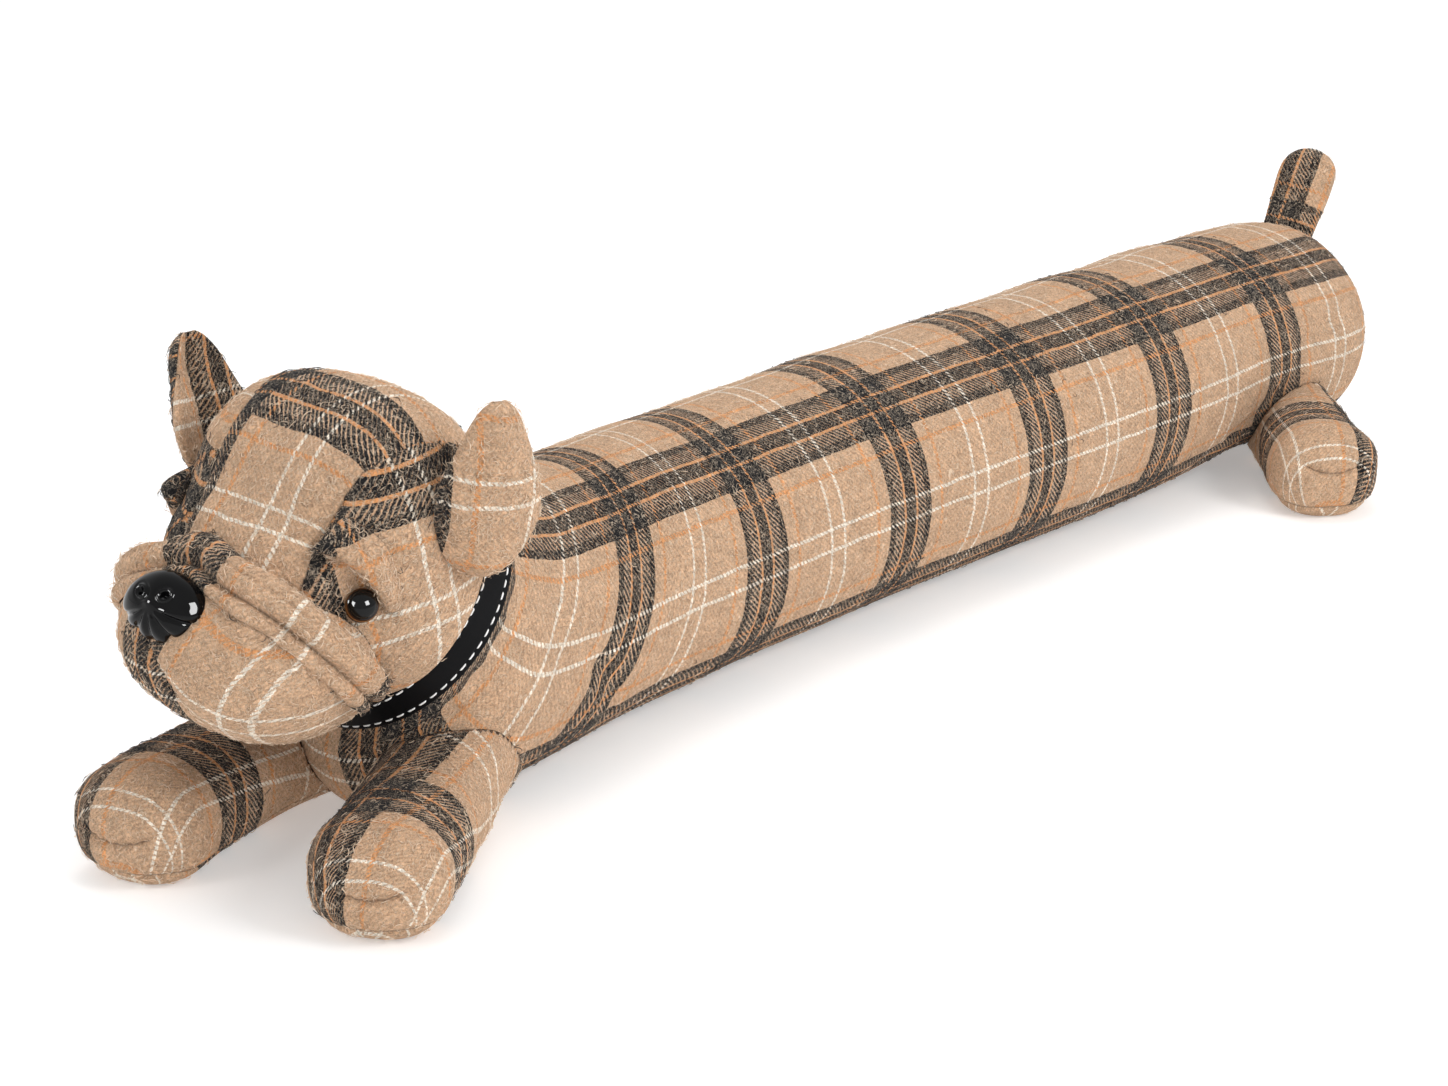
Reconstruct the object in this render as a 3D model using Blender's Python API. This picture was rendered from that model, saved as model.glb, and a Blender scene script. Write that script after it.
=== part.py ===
"""A stuffed cloth draught excluder in the shape of a lying bulldog, about a metre long.

Blender 4.5, metres, +Z up, head towards -X, tail towards +X, the dog's left side towards -Y.
Run it with: blender --background --python part.py

Each piece that a maker sews or fits is one closed solid: the stuffed tube, the head, the
muzzle, the folded lip and brows, the ears, nose, eyes, collar, legs and tail.
"""

import math
from collections import namedtuple

import bmesh
import bpy
import numpy as np
from mathutils import Vector

# Driving sizes, in metres. Lengths along the body are measured from the chest.
TUBE_LENGTH = 0.874
TUBE_SIDES = 32
TUBE_MIDDLE_HEIGHT = 0.0698
REAR_ROUNDING = 0.042
REAR_STEPS = 8
REAR_POWER = 0.7
BEND_LENGTH = 0.45
BEND_ANGLE = 0.30

# Touching pieces stand this far apart.
GAP = 0.0005

NECK_RADIUS = 0.0640
NECK_EDGE = 0.003
NECK_FACE = Vector((0.0195, 0.006, 0.125))
NECK_TILT = math.radians(42.0)
STRAP_WIDTH = 0.0225
STRAP_THICKNESS = 0.0022

AHEAD = Vector((-1.0, 0.0, 0.0))
LEFT = Vector((0.0, -1.0, 0.0))
UP = Vector((0.0, 0.0, 1.0))

# Where the tube's section stands: its top and bottom along the body and in height, its
# half width, and how much of the body's sideways bend it takes.
TubeSection = namedtuple(
    "TubeSection", "top_along top_height bottom_along bottom_height half_width bend_share")
TUBE_SECTIONS = (
    TubeSection(0.0950, 0.1520, -0.0040, 0.0450, 0.0655, 0.10),
    TubeSection(0.1120, 0.1475, 0.0010, 0.0280, 0.0675, 0.25),
    TubeSection(0.1300, 0.1440, 0.0140, 0.0100, 0.0690, 0.45),
    TubeSection(0.1480, 0.1430, 0.0340, 0.0000, 0.0695, 0.70),
    TubeSection(0.1700, 0.1410, 0.0720, -0.0035, 0.0700, 0.90),
    TubeSection(0.2000, 0.1390, 0.1300, -0.0035, 0.0700, 1.00),
    TubeSection(0.2400, 0.1375, 0.2100, -0.0035, 0.0700, 1.00),
    TubeSection(0.2900, 0.1365, 0.2900, -0.0035, 0.0700, 1.00),
    TubeSection(0.4500, 0.1400, 0.4500, -0.0035, 0.0715, 1.00),
    TubeSection(0.6500, 0.1440, 0.6500, -0.0035, 0.0740, 1.00),
    TubeSection(0.8250, 0.1430, 0.8250, -0.0035, 0.0755, 1.00),
)

# Places on the head: forward of this point, to the dog's left of it, and height.
HEAD_BASE = Vector((0.036, 0.006, 0.0))
Place = namedtuple("Place", "forward left height")

# The stuffed masses that make the skull and cheeks, and those of the muzzle.
Mass = namedtuple("Mass", "forward left height half_length half_width half_height")
HEAD_MASSES = (
    Mass(0.028, 0.000, 0.158, 0.058, 0.066, 0.066),
    Mass(0.030, 0.030, 0.170, 0.050, 0.040, 0.050),
    Mass(0.030, -0.030, 0.170, 0.050, 0.040, 0.050),
    Mass(0.072, 0.000, 0.140, 0.040, 0.060, 0.044),
    Mass(0.030, 0.026, 0.126, 0.056, 0.048, 0.046),
    Mass(0.030, -0.026, 0.126, 0.056, 0.048, 0.046),
)
MUZZLE_MASSES = (
    Mass(0.080, 0.000, 0.120, 0.060, 0.060, 0.044),
    Mass(0.088, 0.026, 0.116, 0.046, 0.038, 0.038),
    Mass(0.086, -0.026, 0.118, 0.041, 0.037, 0.036),
)
HEAD_HEART = Place(0.038, 0.0, 0.145)
MUZZLE_HEART = Place(0.076, 0.0, 0.118)
MASS_BLEND = 0.006
HEAD_SEGMENTS = (40, 28)
MUZZLE_SEGMENTS = (32, 20)
FARTHEST_SKIN = 0.200
HALVINGS = 30

# The padded lip, from over the nose down one side, and the padded brow, from the bridge
# over one eye. Each place is dropped onto the stuffing below it.
LIP_PATH = (
    Place(0.1130, 0.0000, 0.1630),
    Place(0.1140, 0.0220, 0.1570),
    Place(0.1080, 0.0420, 0.1480),
    Place(0.0985, 0.0580, 0.1350),
    Place(0.0850, 0.0640, 0.1190),
    Place(0.0700, 0.0640, 0.1020),
    Place(0.0630, 0.0620, 0.0940),
)
LIP_HALF_WIDTH = 0.0120
LIP_HEIGHT = 0.0090
LIP_GROOVE = 0.22
BROW_PATH = (
    Place(0.0820, 0.0480, 0.1710),
    Place(0.0750, 0.0540, 0.1735),
    Place(0.0660, 0.0620, 0.1680),
    Place(0.0590, 0.0670, 0.1560),
    Place(0.0560, 0.0680, 0.1450),
)
BROW_HALF_WIDTH = 0.0110
Brow = namedtuple("Brow", "name hand shift height")
BROWS = (
    Brow("brow_left", 1, 0.000, 0.0085),
    Brow("brow_right", -1, 0.006, 0.0120),
)
ROLL_SIDES = 14
ROLL_END_SHARE = 0.2
ROLL_END_POWER = 6
GROOVE_SPREAD = 0.3

NOSE_PLACE = Place(0.138, 0.0, 0.147)
NOSE_HALF_SIZES = (0.0135, 0.0215, 0.0165)
EYE_PLACE = Place(0.0733, 0.0630, 0.1445)
EYE_RADIUS = 0.0078

# A flat padded leaf's outline: share of its length, half width, share of its thickness.
LeafSection = namedtuple("LeafSection", "share half_width fullness")
EAR_SECTIONS = (
    LeafSection(0.00, 0.0060, 0.45),
    LeafSection(0.05, 0.0120, 0.80),
    LeafSection(0.15, 0.0185, 1.00),
    LeafSection(0.30, 0.0220, 1.00),
    LeafSection(0.45, 0.0225, 1.00),
    LeafSection(0.60, 0.0200, 1.00),
    LeafSection(0.75, 0.0160, 0.95),
    LeafSection(0.88, 0.0115, 0.90),
    LeafSection(0.96, 0.0075, 0.75),
    LeafSection(1.00, 0.0035, 0.40),
)
TAIL_SECTIONS = (
    LeafSection(0.00, 0.0150, 0.90),
    LeafSection(0.20, 0.0165, 1.00),
    LeafSection(0.50, 0.0180, 1.00),
    LeafSection(0.75, 0.0185, 1.00),
    LeafSection(0.88, 0.0165, 0.95),
    LeafSection(0.96, 0.0115, 0.75),
    LeafSection(1.00, 0.0050, 0.40),
)
LEAF_STEPS = 10
LEAF_EDGE_POWER = 0.8
CUP_FADE = 0.018
EAR_THICKNESS = 0.010
EAR_CUP = 0.008
EAR_TURN = math.radians(21.7)
Ear = namedtuple("Ear", "name hand root tip width_share")
EARS = (
    Ear("ear_left", 1, Place(0.016, 0.077, 0.148), Place(0.011, 0.088, 0.229), 1.06),
    Ear("ear_right", -1, Place(0.032, 0.072, 0.156), Place(0.030, 0.100, 0.229), 1.38),
)
TAIL_ROOT = Vector((0.858, 0.045, 0.118))
TAIL_TIP = Vector((0.894, 0.045, 0.180))
TAIL_THICKNESS = 0.020
TAIL_ACROSS = LEFT - AHEAD * 0.5

# A stuffed leg's sections: share of its length, middle height, half width, half height.
LegSection = namedtuple("LegSection", "share height half_width half_height")
FRONT_SECTIONS = (
    LegSection(0.00, 0.0400, 0.0285, 0.0370),
    LegSection(0.35, 0.0330, 0.0290, 0.0330),
    LegSection(0.60, 0.0280, 0.0292, 0.0295),
    LegSection(0.80, 0.0262, 0.0315, 0.0285),
    LegSection(1.00, 0.0265, 0.0335, 0.0290),
)
HIND_SECTIONS = (
    LegSection(0.00, 0.0300, 0.0290, 0.0300),
    LegSection(0.35, 0.0280, 0.0295, 0.0295),
    LegSection(0.60, 0.0270, 0.0300, 0.0290),
    LegSection(0.80, 0.0265, 0.0320, 0.0290),
    LegSection(1.00, 0.0270, 0.0340, 0.0295),
)
LEG_SIDES = 20
LEG_ROUNDNESS = 2.3
PAW_TIP = 0.026
PAW_STEPS = 7
PAW_POWER = 0.8

# Each leg's line on the floor: inside the body, where it turns, and the paw's middle.
Leg = namedtuple("Leg", "name sections inside turn paw")
LEGS = (
    Leg("front_leg_left", FRONT_SECTIONS, (0.072, -0.006), (0.017, -0.038), (-0.051, -0.079)),
    Leg("front_leg_right", FRONT_SECTIONS, (0.085, 0.035), (0.030, 0.083), (-0.088, 0.043)),
    Leg("hind_leg_left", HIND_SECTIONS, (0.800, 0.000), (0.765, -0.036), (0.720, -0.082)),
    Leg("hind_leg_right", HIND_SECTIONS, (0.800, 0.090), (0.765, 0.126), (0.720, 0.172)),
)


# Scene and object helpers


def clear_scene():
    """Empty the scene."""
    for item in list(bpy.data.objects):
        bpy.data.objects.remove(item, do_unlink=True)


def make_material(name, colour, roughness, metallic=0.0):
    """One Principled material."""
    material = bpy.data.materials.new(name)
    material.use_nodes = True
    shader = material.node_tree.nodes["Principled BSDF"]
    shader.inputs["Base Color"].default_value = (*colour, 1.0)
    shader.inputs["Roughness"].default_value = roughness
    shader.inputs["Metallic"].default_value = metallic
    return material


def add_solid(name, mesh, material, root):
    """One named object from a finished bmesh, shaded smooth, under the part's root."""
    bmesh.ops.recalc_face_normals(mesh, faces=mesh.faces)
    data = bpy.data.meshes.new(name)
    mesh.to_mesh(data)
    mesh.free()
    if material:
        data.materials.append(material)
    data.shade_smooth()
    item = bpy.data.objects.new(name, data)
    item.parent = root
    bpy.context.scene.collection.objects.link(item)
    return item


def add_cutter(name, mesh, root):
    """A guide, one gap larger than a piece, that keeps its neighbours clear of it."""
    item = add_solid(name, mesh, None, root)
    item.hide_render = True
    item.display_type = "WIRE"
    return item


def cut(item, *cutters, solver="EXACT"):
    """Take each cutter's space out of a solid."""
    for cutter in cutters:
        modifier = item.modifiers.new("Clear " + cutter.name, "BOOLEAN")
        modifier.operation = "DIFFERENCE"
        modifier.solver = solver
        modifier.object = cutter


def stand_over_origin(root, solids):
    """Move the whole part so that its box stands centred over the origin."""
    bpy.context.view_layer.update()
    depsgraph = bpy.context.evaluated_depsgraph_get()
    corners = []
    for item in solids:
        shown = item.evaluated_get(depsgraph)
        corners += [shown.matrix_world @ vertex.co for vertex in shown.data.vertices]
    low_x, high_x = min(c.x for c in corners), max(c.x for c in corners)
    low_y, high_y = min(c.y for c in corners), max(c.y for c in corners)
    root.location = (-(low_x + high_x) / 2.0, -(low_y + high_y) / 2.0, 0.0)


# Mesh helpers


def ring_angles(count):
    """Even turns round a section."""
    return [2.0 * math.pi * i / count for i in range(count)]


def bridge_rings(mesh, near, far):
    """Faces between two rings of the same count."""
    for i in range(len(near)):
        j = (i + 1) % len(near)
        mesh.faces.new((near[i], near[j], far[j], far[i]))


def loft(rings):
    """A closed skin over rings of equal count, each end closed to its own middle."""
    mesh = bmesh.new()
    rows = [[mesh.verts.new(point) for point in ring] for ring in rings]
    for near, far in zip(rows, rows[1:]):
        bridge_rings(mesh, near, far)
    for row in (rows[0], rows[-1]):
        middle = mesh.verts.new(sum((vertex.co for vertex in row), Vector()) / len(row))
        for i in range(len(row)):
            mesh.faces.new((row[i], row[(i + 1) % len(row)], middle))
    return mesh


def smooth_rows(rows, steps):
    """Rows read from a smooth curve through a short table, evenly between each two."""
    table = np.array(rows, dtype=float)
    out = []
    for k in range(len(table) - 1):
        before = table[max(k - 1, 0)]
        after = table[min(k + 2, len(table) - 1)]
        near_slope = (table[k + 1] - before) / 2.0
        far_slope = (after - table[k]) / 2.0
        for step in range(steps):
            t = step / steps
            out.append((2 * t**3 - 3 * t**2 + 1) * table[k]
                       + (t**3 - 2 * t**2 + t) * near_slope
                       + (3 * t**2 - 2 * t**3) * table[k + 1]
                       + (t**3 - t**2) * far_slope)
    out.append(table[-1])
    return out


# The stuffed tube


def bend_heading(along):
    """The middle line's heading in plan: bent near the chest, then straight."""
    if along >= BEND_LENGTH:
        return 0.0
    return BEND_ANGLE * (1.0 - along / BEND_LENGTH) ** 2


def spine_point(along, steps=200):
    """The middle line's point in plan."""
    size = along / steps
    turns = [bend_heading(size * (k + 0.5)) for k in range(steps)]
    return sum(math.cos(t) for t in turns) * size, sum(math.sin(t) for t in turns) * size


def tube_ring(section, grow):
    """One section: an ellipse through its top and bottom, pressed flat on the floor."""
    middle_along = (section.top_along + section.bottom_along) / 2.0
    x, y = spine_point(middle_along)
    heading = bend_heading(middle_along) * section.bend_share
    forward = Vector((math.cos(heading), math.sin(heading), 0.0))
    side = Vector((-math.sin(heading), math.cos(heading), 0.0))
    middle = Vector((x, y, (section.top_height + section.bottom_height) / 2.0))
    rise = forward * (section.top_along - section.bottom_along) / 2.0
    rise += UP * (section.top_height - section.bottom_height) / 2.0
    rise *= 1.0 + grow / rise.length
    ring = []
    for angle in ring_angles(TUBE_SIDES):
        point = middle + rise * math.cos(angle)
        point += side * (section.half_width + grow) * math.sin(angle)
        point.z = max(point.z, -grow)
        ring.append(point)
    return ring


def neck_ring(back, radius):
    """A round section of the neck, a distance behind its front face."""
    normal = AHEAD * math.cos(NECK_TILT) + UP * math.sin(NECK_TILT)
    top = UP * math.cos(NECK_TILT) - AHEAD * math.sin(NECK_TILT)
    middle = NECK_FACE - normal * back
    return [middle + radius * (top * math.cos(angle) - LEFT * math.sin(angle))
            for angle in ring_angles(TUBE_SIDES)]


def rear_sections():
    """The rear end's sections, closing over the rounding."""
    last = TUBE_SECTIONS[-1]
    rounded = REAR_ROUNDING / last.half_width
    for k in range(1, REAR_STEPS):
        turn = math.radians(90.0) * k / REAR_STEPS
        along = last.top_along + (TUBE_LENGTH - last.top_along) * math.sin(turn)
        size = 1.0 - rounded + rounded * math.cos(turn) ** REAR_POWER
        top = TUBE_MIDDLE_HEIGHT + (last.top_height - TUBE_MIDDLE_HEIGHT) * size
        bottom = TUBE_MIDDLE_HEIGHT + (last.bottom_height - TUBE_MIDDLE_HEIGHT) * size
        yield TubeSection(along, top, along, bottom, last.half_width * size, 1.0)


def tube_mesh(grow=0.0):
    """The body: neck under the collar, bent front part, straight tube and rounded rear."""
    rings = [neck_ring(-grow, NECK_RADIUS - NECK_EDGE + grow),
             neck_ring(NECK_EDGE, NECK_RADIUS + grow),
             neck_ring(STRAP_WIDTH, NECK_RADIUS + grow)]
    sections = [TubeSection(*row) for row in smooth_rows(TUBE_SECTIONS, 2)]
    sections += list(rear_sections())
    rings += [tube_ring(section, grow) for section in sections]
    return loft(rings)


def collar_mesh():
    """The strap: a flat ring about the neck."""
    inner = NECK_RADIUS + GAP
    outer = inner + STRAP_THICKNESS
    corners = ((GAP, inner), (GAP, outer), (STRAP_WIDTH, outer), (STRAP_WIDTH, inner))
    mesh = bmesh.new()
    rings = [[mesh.verts.new(point) for point in neck_ring(back, radius)]
             for back, radius in corners]
    for near, far in zip(rings, rings[1:] + rings[:1]):
        bridge_rings(mesh, near, far)
    return mesh


# The head


def head_point(place, hand=1):
    """A place on the head, in the part's frame; hand is 1 on the left, -1 on the right."""
    forward, left, height = place
    return Vector((HEAD_BASE.x - forward, HEAD_BASE.y - left * hand, height))


def mass_field(points, masses):
    """Below zero inside the smoothly joined masses."""
    total = np.zeros(len(points))
    for mass in masses:
        offset = points - np.array(mass[:3])
        sizes = np.array(mass[3:])
        scaled = np.linalg.norm(offset / sizes, axis=1)
        slope = np.linalg.norm(offset / sizes**2, axis=1)
        total += np.exp(-scaled * (scaled - 1.0) / np.maximum(slope, 1e-9) / MASS_BLEND)
    return -MASS_BLEND * np.log(total)


def skin_reach(rays, masses, heart):
    """How far along each ray from the heart the stuffed skin lies."""
    near = np.zeros(len(rays))
    far = np.full(len(rays), FARTHEST_SKIN)
    for _ in range(HALVINGS):
        middle = (near + far) / 2.0
        inside = mass_field(np.array(heart) + rays * middle[:, None], masses) < 0.0
        near = np.where(inside, middle, near)
        far = np.where(inside, far, middle)
    return near


def stuffed_mesh(masses, heart, segments, grow=0.0):
    """A round skin about the masses."""
    mesh = bmesh.new()
    bmesh.ops.create_uvsphere(mesh, u_segments=segments[0], v_segments=segments[1], radius=1.0)
    rays = np.array([vertex.co.normalized()[:] for vertex in mesh.verts])
    reach = skin_reach(rays, masses, heart) + grow
    for vertex, ray, distance in zip(mesh.verts, rays, reach):
        vertex.co = head_point(np.array(heart) + ray * distance)
    return mesh


def cut_at_neck(mesh):
    """Slice a head solid flat, one gap ahead of the neck's front face."""
    normal = AHEAD * math.cos(NECK_TILT) + UP * math.sin(NECK_TILT)
    bmesh.ops.bisect_plane(mesh, geom=mesh.verts[:] + mesh.edges[:] + mesh.faces[:],
                           plane_co=NECK_FACE + normal * GAP, plane_no=normal,
                           clear_inner=True)
    rim = [edge for edge in mesh.edges if edge.is_boundary]
    bmesh.ops.holes_fill(mesh, edges=rim, sides=0)
    return mesh


def on_skin(places, masses, heart):
    """Each place dropped onto the skin, with the way that it faces."""
    rays = np.array(places, dtype=float) - np.array(heart)
    rays /= np.linalg.norm(rays, axis=1)[:, None]
    reach = skin_reach(rays, masses, heart)
    points = [head_point(np.array(heart) + ray * far) for ray, far in zip(rays, reach)]
    facing = [(point - head_point(heart)).normalized() for point in points]
    return points, facing


def roll_mesh(points, facing, half_width, height, groove=0.0):
    """A padded roll along points on the skin, thinning at its two ends."""
    last = len(points) - 1
    rings = []
    for k, point in enumerate(points):
        run = (points[min(k + 1, last)] - points[max(k - 1, 0)]).normalized()
        up = (facing[k] - run * facing[k].dot(run)).normalized()
        side = run.cross(up)
        end = abs(2.0 * k / last - 1.0)
        size = ROLL_END_SHARE + (1.0 - ROLL_END_SHARE) * math.sqrt(1.0 - end**ROLL_END_POWER)
        ring = []
        for angle in ring_angles(ROLL_SIDES):
            dip = 0.0
            if math.cos(angle) > 0.0:
                dip = groove * math.exp(-(math.sin(angle) / GROOVE_SPREAD) ** 2)
            ring.append(point + side * half_width * size * math.sin(angle)
                        + up * height * size * (1.0 - dip) * math.cos(angle))
        rings.append(ring)
    return loft(rings)


def lip_mesh(grow=0.0):
    """The folded lip: a flat padded strip, arched over the nose and down both sides."""
    half = [Place(*row) for row in smooth_rows(LIP_PATH, 2)]
    places = [place._replace(left=-place.left) for place in half[:0:-1]] + half
    points, facing = on_skin(places, MUZZLE_MASSES, MUZZLE_HEART)
    return roll_mesh(points, facing, LIP_HALF_WIDTH + grow, LIP_HEIGHT + grow, LIP_GROOVE)


def brow_mesh(brow):
    """A cheek panel's padded fold over one eye."""
    places = [Place(*row) for row in smooth_rows(BROW_PATH, 3)]
    places = [Place(place.forward + brow.shift, place.left * brow.hand, place.height)
              for place in places]
    points, facing = on_skin(places, HEAD_MASSES, HEAD_HEART)
    return roll_mesh(points, facing, BROW_HALF_WIDTH, brow.height)


def ball_mesh(middle, half_sizes):
    """A smooth ball with its own half sizes ahead, sideways and up."""
    mesh = bmesh.new()
    bmesh.ops.create_icosphere(mesh, subdivisions=3, radius=1.0)
    for vertex in mesh.verts:
        offset = [size * value for size, value in zip(half_sizes, vertex.co)]
        vertex.co = middle + AHEAD * offset[0] + LEFT * offset[1] + UP * offset[2]
    return mesh


def nose_mesh():
    """The moulded nose, on the muzzle's front."""
    points, _ = on_skin([NOSE_PLACE], MUZZLE_MASSES, MUZZLE_HEART)
    return ball_mesh(points[0], NOSE_HALF_SIZES)


def eye_mesh(hand, grow=0.0):
    """A round eye, half sunk in the cheek."""
    place = EYE_PLACE._replace(left=EYE_PLACE.left * hand)
    points, _ = on_skin([place], HEAD_MASSES, HEAD_HEART)
    return ball_mesh(points[0], (EYE_RADIUS + grow,) * 3)


# Ears and tail


def leaf_mesh(root, tip, across, outward, sections, thickness, cup=0.0):
    """A flat padded leaf from root to tip, cupped about its length."""
    axis = (tip - root).normalized()
    across = (across - axis * across.dot(axis)).normalized()
    outward = outward - axis * outward.dot(axis) - across * outward.dot(across)
    outward.normalize()
    rings = []
    for section in sections:
        middle = root + (tip - root) * section.share
        bow = cup * min(1.0, section.half_width / CUP_FADE)
        ring = []
        for k in range(2 * LEAF_STEPS):
            turn = math.pi * k / LEAF_STEPS
            width = math.cos(turn)
            pad = math.copysign(abs(math.sin(turn)) ** LEAF_EDGE_POWER, math.sin(turn))
            point = middle + across * section.half_width * width
            point += outward * (bow * (1.0 - width**2) + thickness / 2.0 * section.fullness * pad)
            ring.append(point)
        rings.append(ring)
    return loft(rings)


def ear_mesh(ear):
    """One ear, standing up beside the head and cupped towards it."""
    across = AHEAD * math.cos(EAR_TURN) - LEFT * math.sin(EAR_TURN) * ear.hand
    outward = LEFT * math.cos(EAR_TURN) * ear.hand + AHEAD * math.sin(EAR_TURN)
    sections = [section._replace(half_width=section.half_width * ear.width_share)
                for section in EAR_SECTIONS]
    return leaf_mesh(head_point(ear.root, ear.hand), head_point(ear.tip, ear.hand),
                     across, outward, sections, EAR_THICKNESS, EAR_CUP)


def tail_mesh():
    """The flat padded tail, leaning back from the rear's upper edge."""
    return leaf_mesh(TAIL_ROOT, TAIL_TIP, TAIL_ACROSS, AHEAD.copy(),
                     TAIL_SECTIONS, TAIL_THICKNESS)


# Legs


def leg_line(leg, share):
    """The leg's middle line on the floor, and its heading, at a share of its length."""
    inside, turn, paw = (Vector((*point, 0.0)) for point in (leg.inside, leg.turn, leg.paw))
    point = inside * (1.0 - share) ** 2 + turn * 2.0 * share * (1.0 - share) + paw * share**2
    heading = (turn - inside) * (1.0 - share) + (paw - turn) * share
    return point, heading.normalized()


def leg_ring(middle, heading, half_width, half_height):
    """A squarish round section, pressed flat on the floor."""
    side = Vector((-heading.y, heading.x, 0.0))
    power = 2.0 / LEG_ROUNDNESS
    ring = []
    for angle in ring_angles(LEG_SIDES):
        across = math.copysign(abs(math.sin(angle)) ** power, math.sin(angle)) * half_width
        above = math.copysign(abs(math.cos(angle)) ** power, math.cos(angle)) * half_height
        point = middle + side * across + UP * above
        point.z = max(point.z, 0.0)
        ring.append(point)
    return ring


def leg_mesh(leg):
    """A stuffed leg lying on the floor, from inside the body to its rounded paw."""
    rings = []
    for section in (LegSection(*row) for row in smooth_rows(leg.sections, 2)):
        point, heading = leg_line(leg, section.share)
        rings.append(leg_ring(point + UP * section.height, heading,
                              section.half_width, section.half_height))
    paw = leg.sections[-1]
    point, heading = leg_line(leg, 1.0)
    for k in range(1, PAW_STEPS):
        turn = math.radians(90.0) * k / PAW_STEPS
        size = math.cos(turn) ** PAW_POWER
        middle = point + heading * PAW_TIP * math.sin(turn) + UP * paw.height
        rings.append(leg_ring(middle, heading, paw.half_width * size, paw.half_height * size))
    return loft(rings)


def build():
    """Make every piece and stand the part over the origin."""
    clear_scene()
    tweed = make_material("Checked tweed", (0.52, 0.40, 0.29), 0.9)
    satin = make_material("Black strap", (0.010, 0.010, 0.011), 0.35)
    gloss = make_material("Black moulding", (0.006, 0.006, 0.007), 0.08)

    root = bpy.data.objects.new("draught_excluder", None)
    bpy.context.scene.collection.objects.link(root)

    head_room = add_cutter("head_room", stuffed_mesh(
        HEAD_MASSES, HEAD_HEART, HEAD_SEGMENTS, GAP), root)
    muzzle_room = add_cutter("muzzle_room", stuffed_mesh(
        MUZZLE_MASSES, MUZZLE_HEART, MUZZLE_SEGMENTS, GAP), root)
    body_room = add_cutter("body_room", tube_mesh(GAP), root)
    lip_room = add_cutter("lip_room", lip_mesh(GAP), root)

    solids = [add_solid("body", tube_mesh(), tweed, root)]
    solids.append(add_solid("head", cut_at_neck(stuffed_mesh(
        HEAD_MASSES, HEAD_HEART, HEAD_SEGMENTS)), tweed, root))
    muzzle = add_solid("muzzle", cut_at_neck(stuffed_mesh(
        MUZZLE_MASSES, MUZZLE_HEART, MUZZLE_SEGMENTS)), tweed, root)
    cut(muzzle, head_room)
    lip = add_solid("lip", lip_mesh(), tweed, root)
    cut(lip, head_room, muzzle_room)
    nose = add_solid("nose", nose_mesh(), gloss, root)
    cut(nose, muzzle_room, head_room, lip_room)
    solids += [muzzle, lip, nose]

    for plan in BROWS:
        side = "left" if plan.hand > 0 else "right"
        eye_room = add_cutter("eye_room_" + side, eye_mesh(plan.hand, GAP), root)
        eye = add_solid("eye_" + side, eye_mesh(plan.hand), gloss, root)
        cut(eye, head_room)
        brow = add_solid(plan.name, brow_mesh(plan), tweed, root)
        cut(brow, head_room, eye_room, solver="MANIFOLD")
        solids += [eye, brow]

    for plan in EARS:
        ear = add_solid(plan.name, ear_mesh(plan), tweed, root)
        cut(ear, head_room, solver="MANIFOLD")
        solids.append(ear)

    solids.append(add_solid("collar", collar_mesh(), satin, root))

    for plan in LEGS:
        leg = add_solid(plan.name, leg_mesh(plan), tweed, root)
        cut(leg, body_room)
        solids.append(leg)

    tail = add_solid("tail", tail_mesh(), tweed, root)
    cut(tail, body_room)
    solids.append(tail)
    stand_over_origin(root, solids)


build()
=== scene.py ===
"""Dresses the stuffed tweed draught excluder: its cloth, seams, stitching, nose, eyes and studio.

Blender 4.5, metres, +Z up, head towards -X, tail towards +X, the dog's left side towards -Y.
Lengths along the body are measured from the chest, and every skin is moved to its place in the
frame when its mesh is made.
"""

import logging
import math
from dataclasses import dataclass, field
from enum import Enum
from typing import Callable, NamedTuple, Sequence

import bmesh
import bpy
import numpy as np
from mathutils import Matrix, Vector

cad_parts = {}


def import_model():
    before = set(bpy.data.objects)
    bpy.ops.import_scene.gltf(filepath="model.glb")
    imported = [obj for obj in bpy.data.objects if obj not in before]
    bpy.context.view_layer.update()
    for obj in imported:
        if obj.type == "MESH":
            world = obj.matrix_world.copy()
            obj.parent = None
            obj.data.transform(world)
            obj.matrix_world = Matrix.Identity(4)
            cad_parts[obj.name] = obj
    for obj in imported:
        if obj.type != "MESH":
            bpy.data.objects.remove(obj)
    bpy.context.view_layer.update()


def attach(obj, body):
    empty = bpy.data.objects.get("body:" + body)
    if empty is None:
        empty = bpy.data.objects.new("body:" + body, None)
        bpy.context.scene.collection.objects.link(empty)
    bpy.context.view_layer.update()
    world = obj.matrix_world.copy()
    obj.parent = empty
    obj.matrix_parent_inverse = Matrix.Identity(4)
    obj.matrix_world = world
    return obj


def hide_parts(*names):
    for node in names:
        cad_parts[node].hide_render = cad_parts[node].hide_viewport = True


LOG = logging.getLogger("draught_excluder")

Array = np.ndarray
Face = tuple[int, ...]

BODY = "root"
CHEST = np.array((-0.3921, -0.0450, 0.0))
GAP = 0.0005
AHEAD = np.array((-1.0, 0.0, 0.0))
LEFT = np.array((0.0, -1.0, 0.0))
UP = np.array((0.0, 0.0, 1.0))


class Slot(Enum):
    """The record's material slots."""

    TWEED = "tweed"
    STRAP = "strap"
    NOSE = "nose"
    EYES = "eyes"


class Hand(Enum):
    """Which side of the dog a piece is on."""

    LEFT = 1
    RIGHT = -1


# Number helpers


def unit(rows: Array) -> Array:
    """Rows of vectors, each scaled to a length of one."""
    return rows / np.maximum(np.linalg.norm(rows, axis=-1, keepdims=True), 1e-12)


def bell(distance: Array, width: float) -> Array:
    """A smooth bump: one at no distance, fading over a width."""
    return np.exp(-((distance / width) ** 2))


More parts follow.
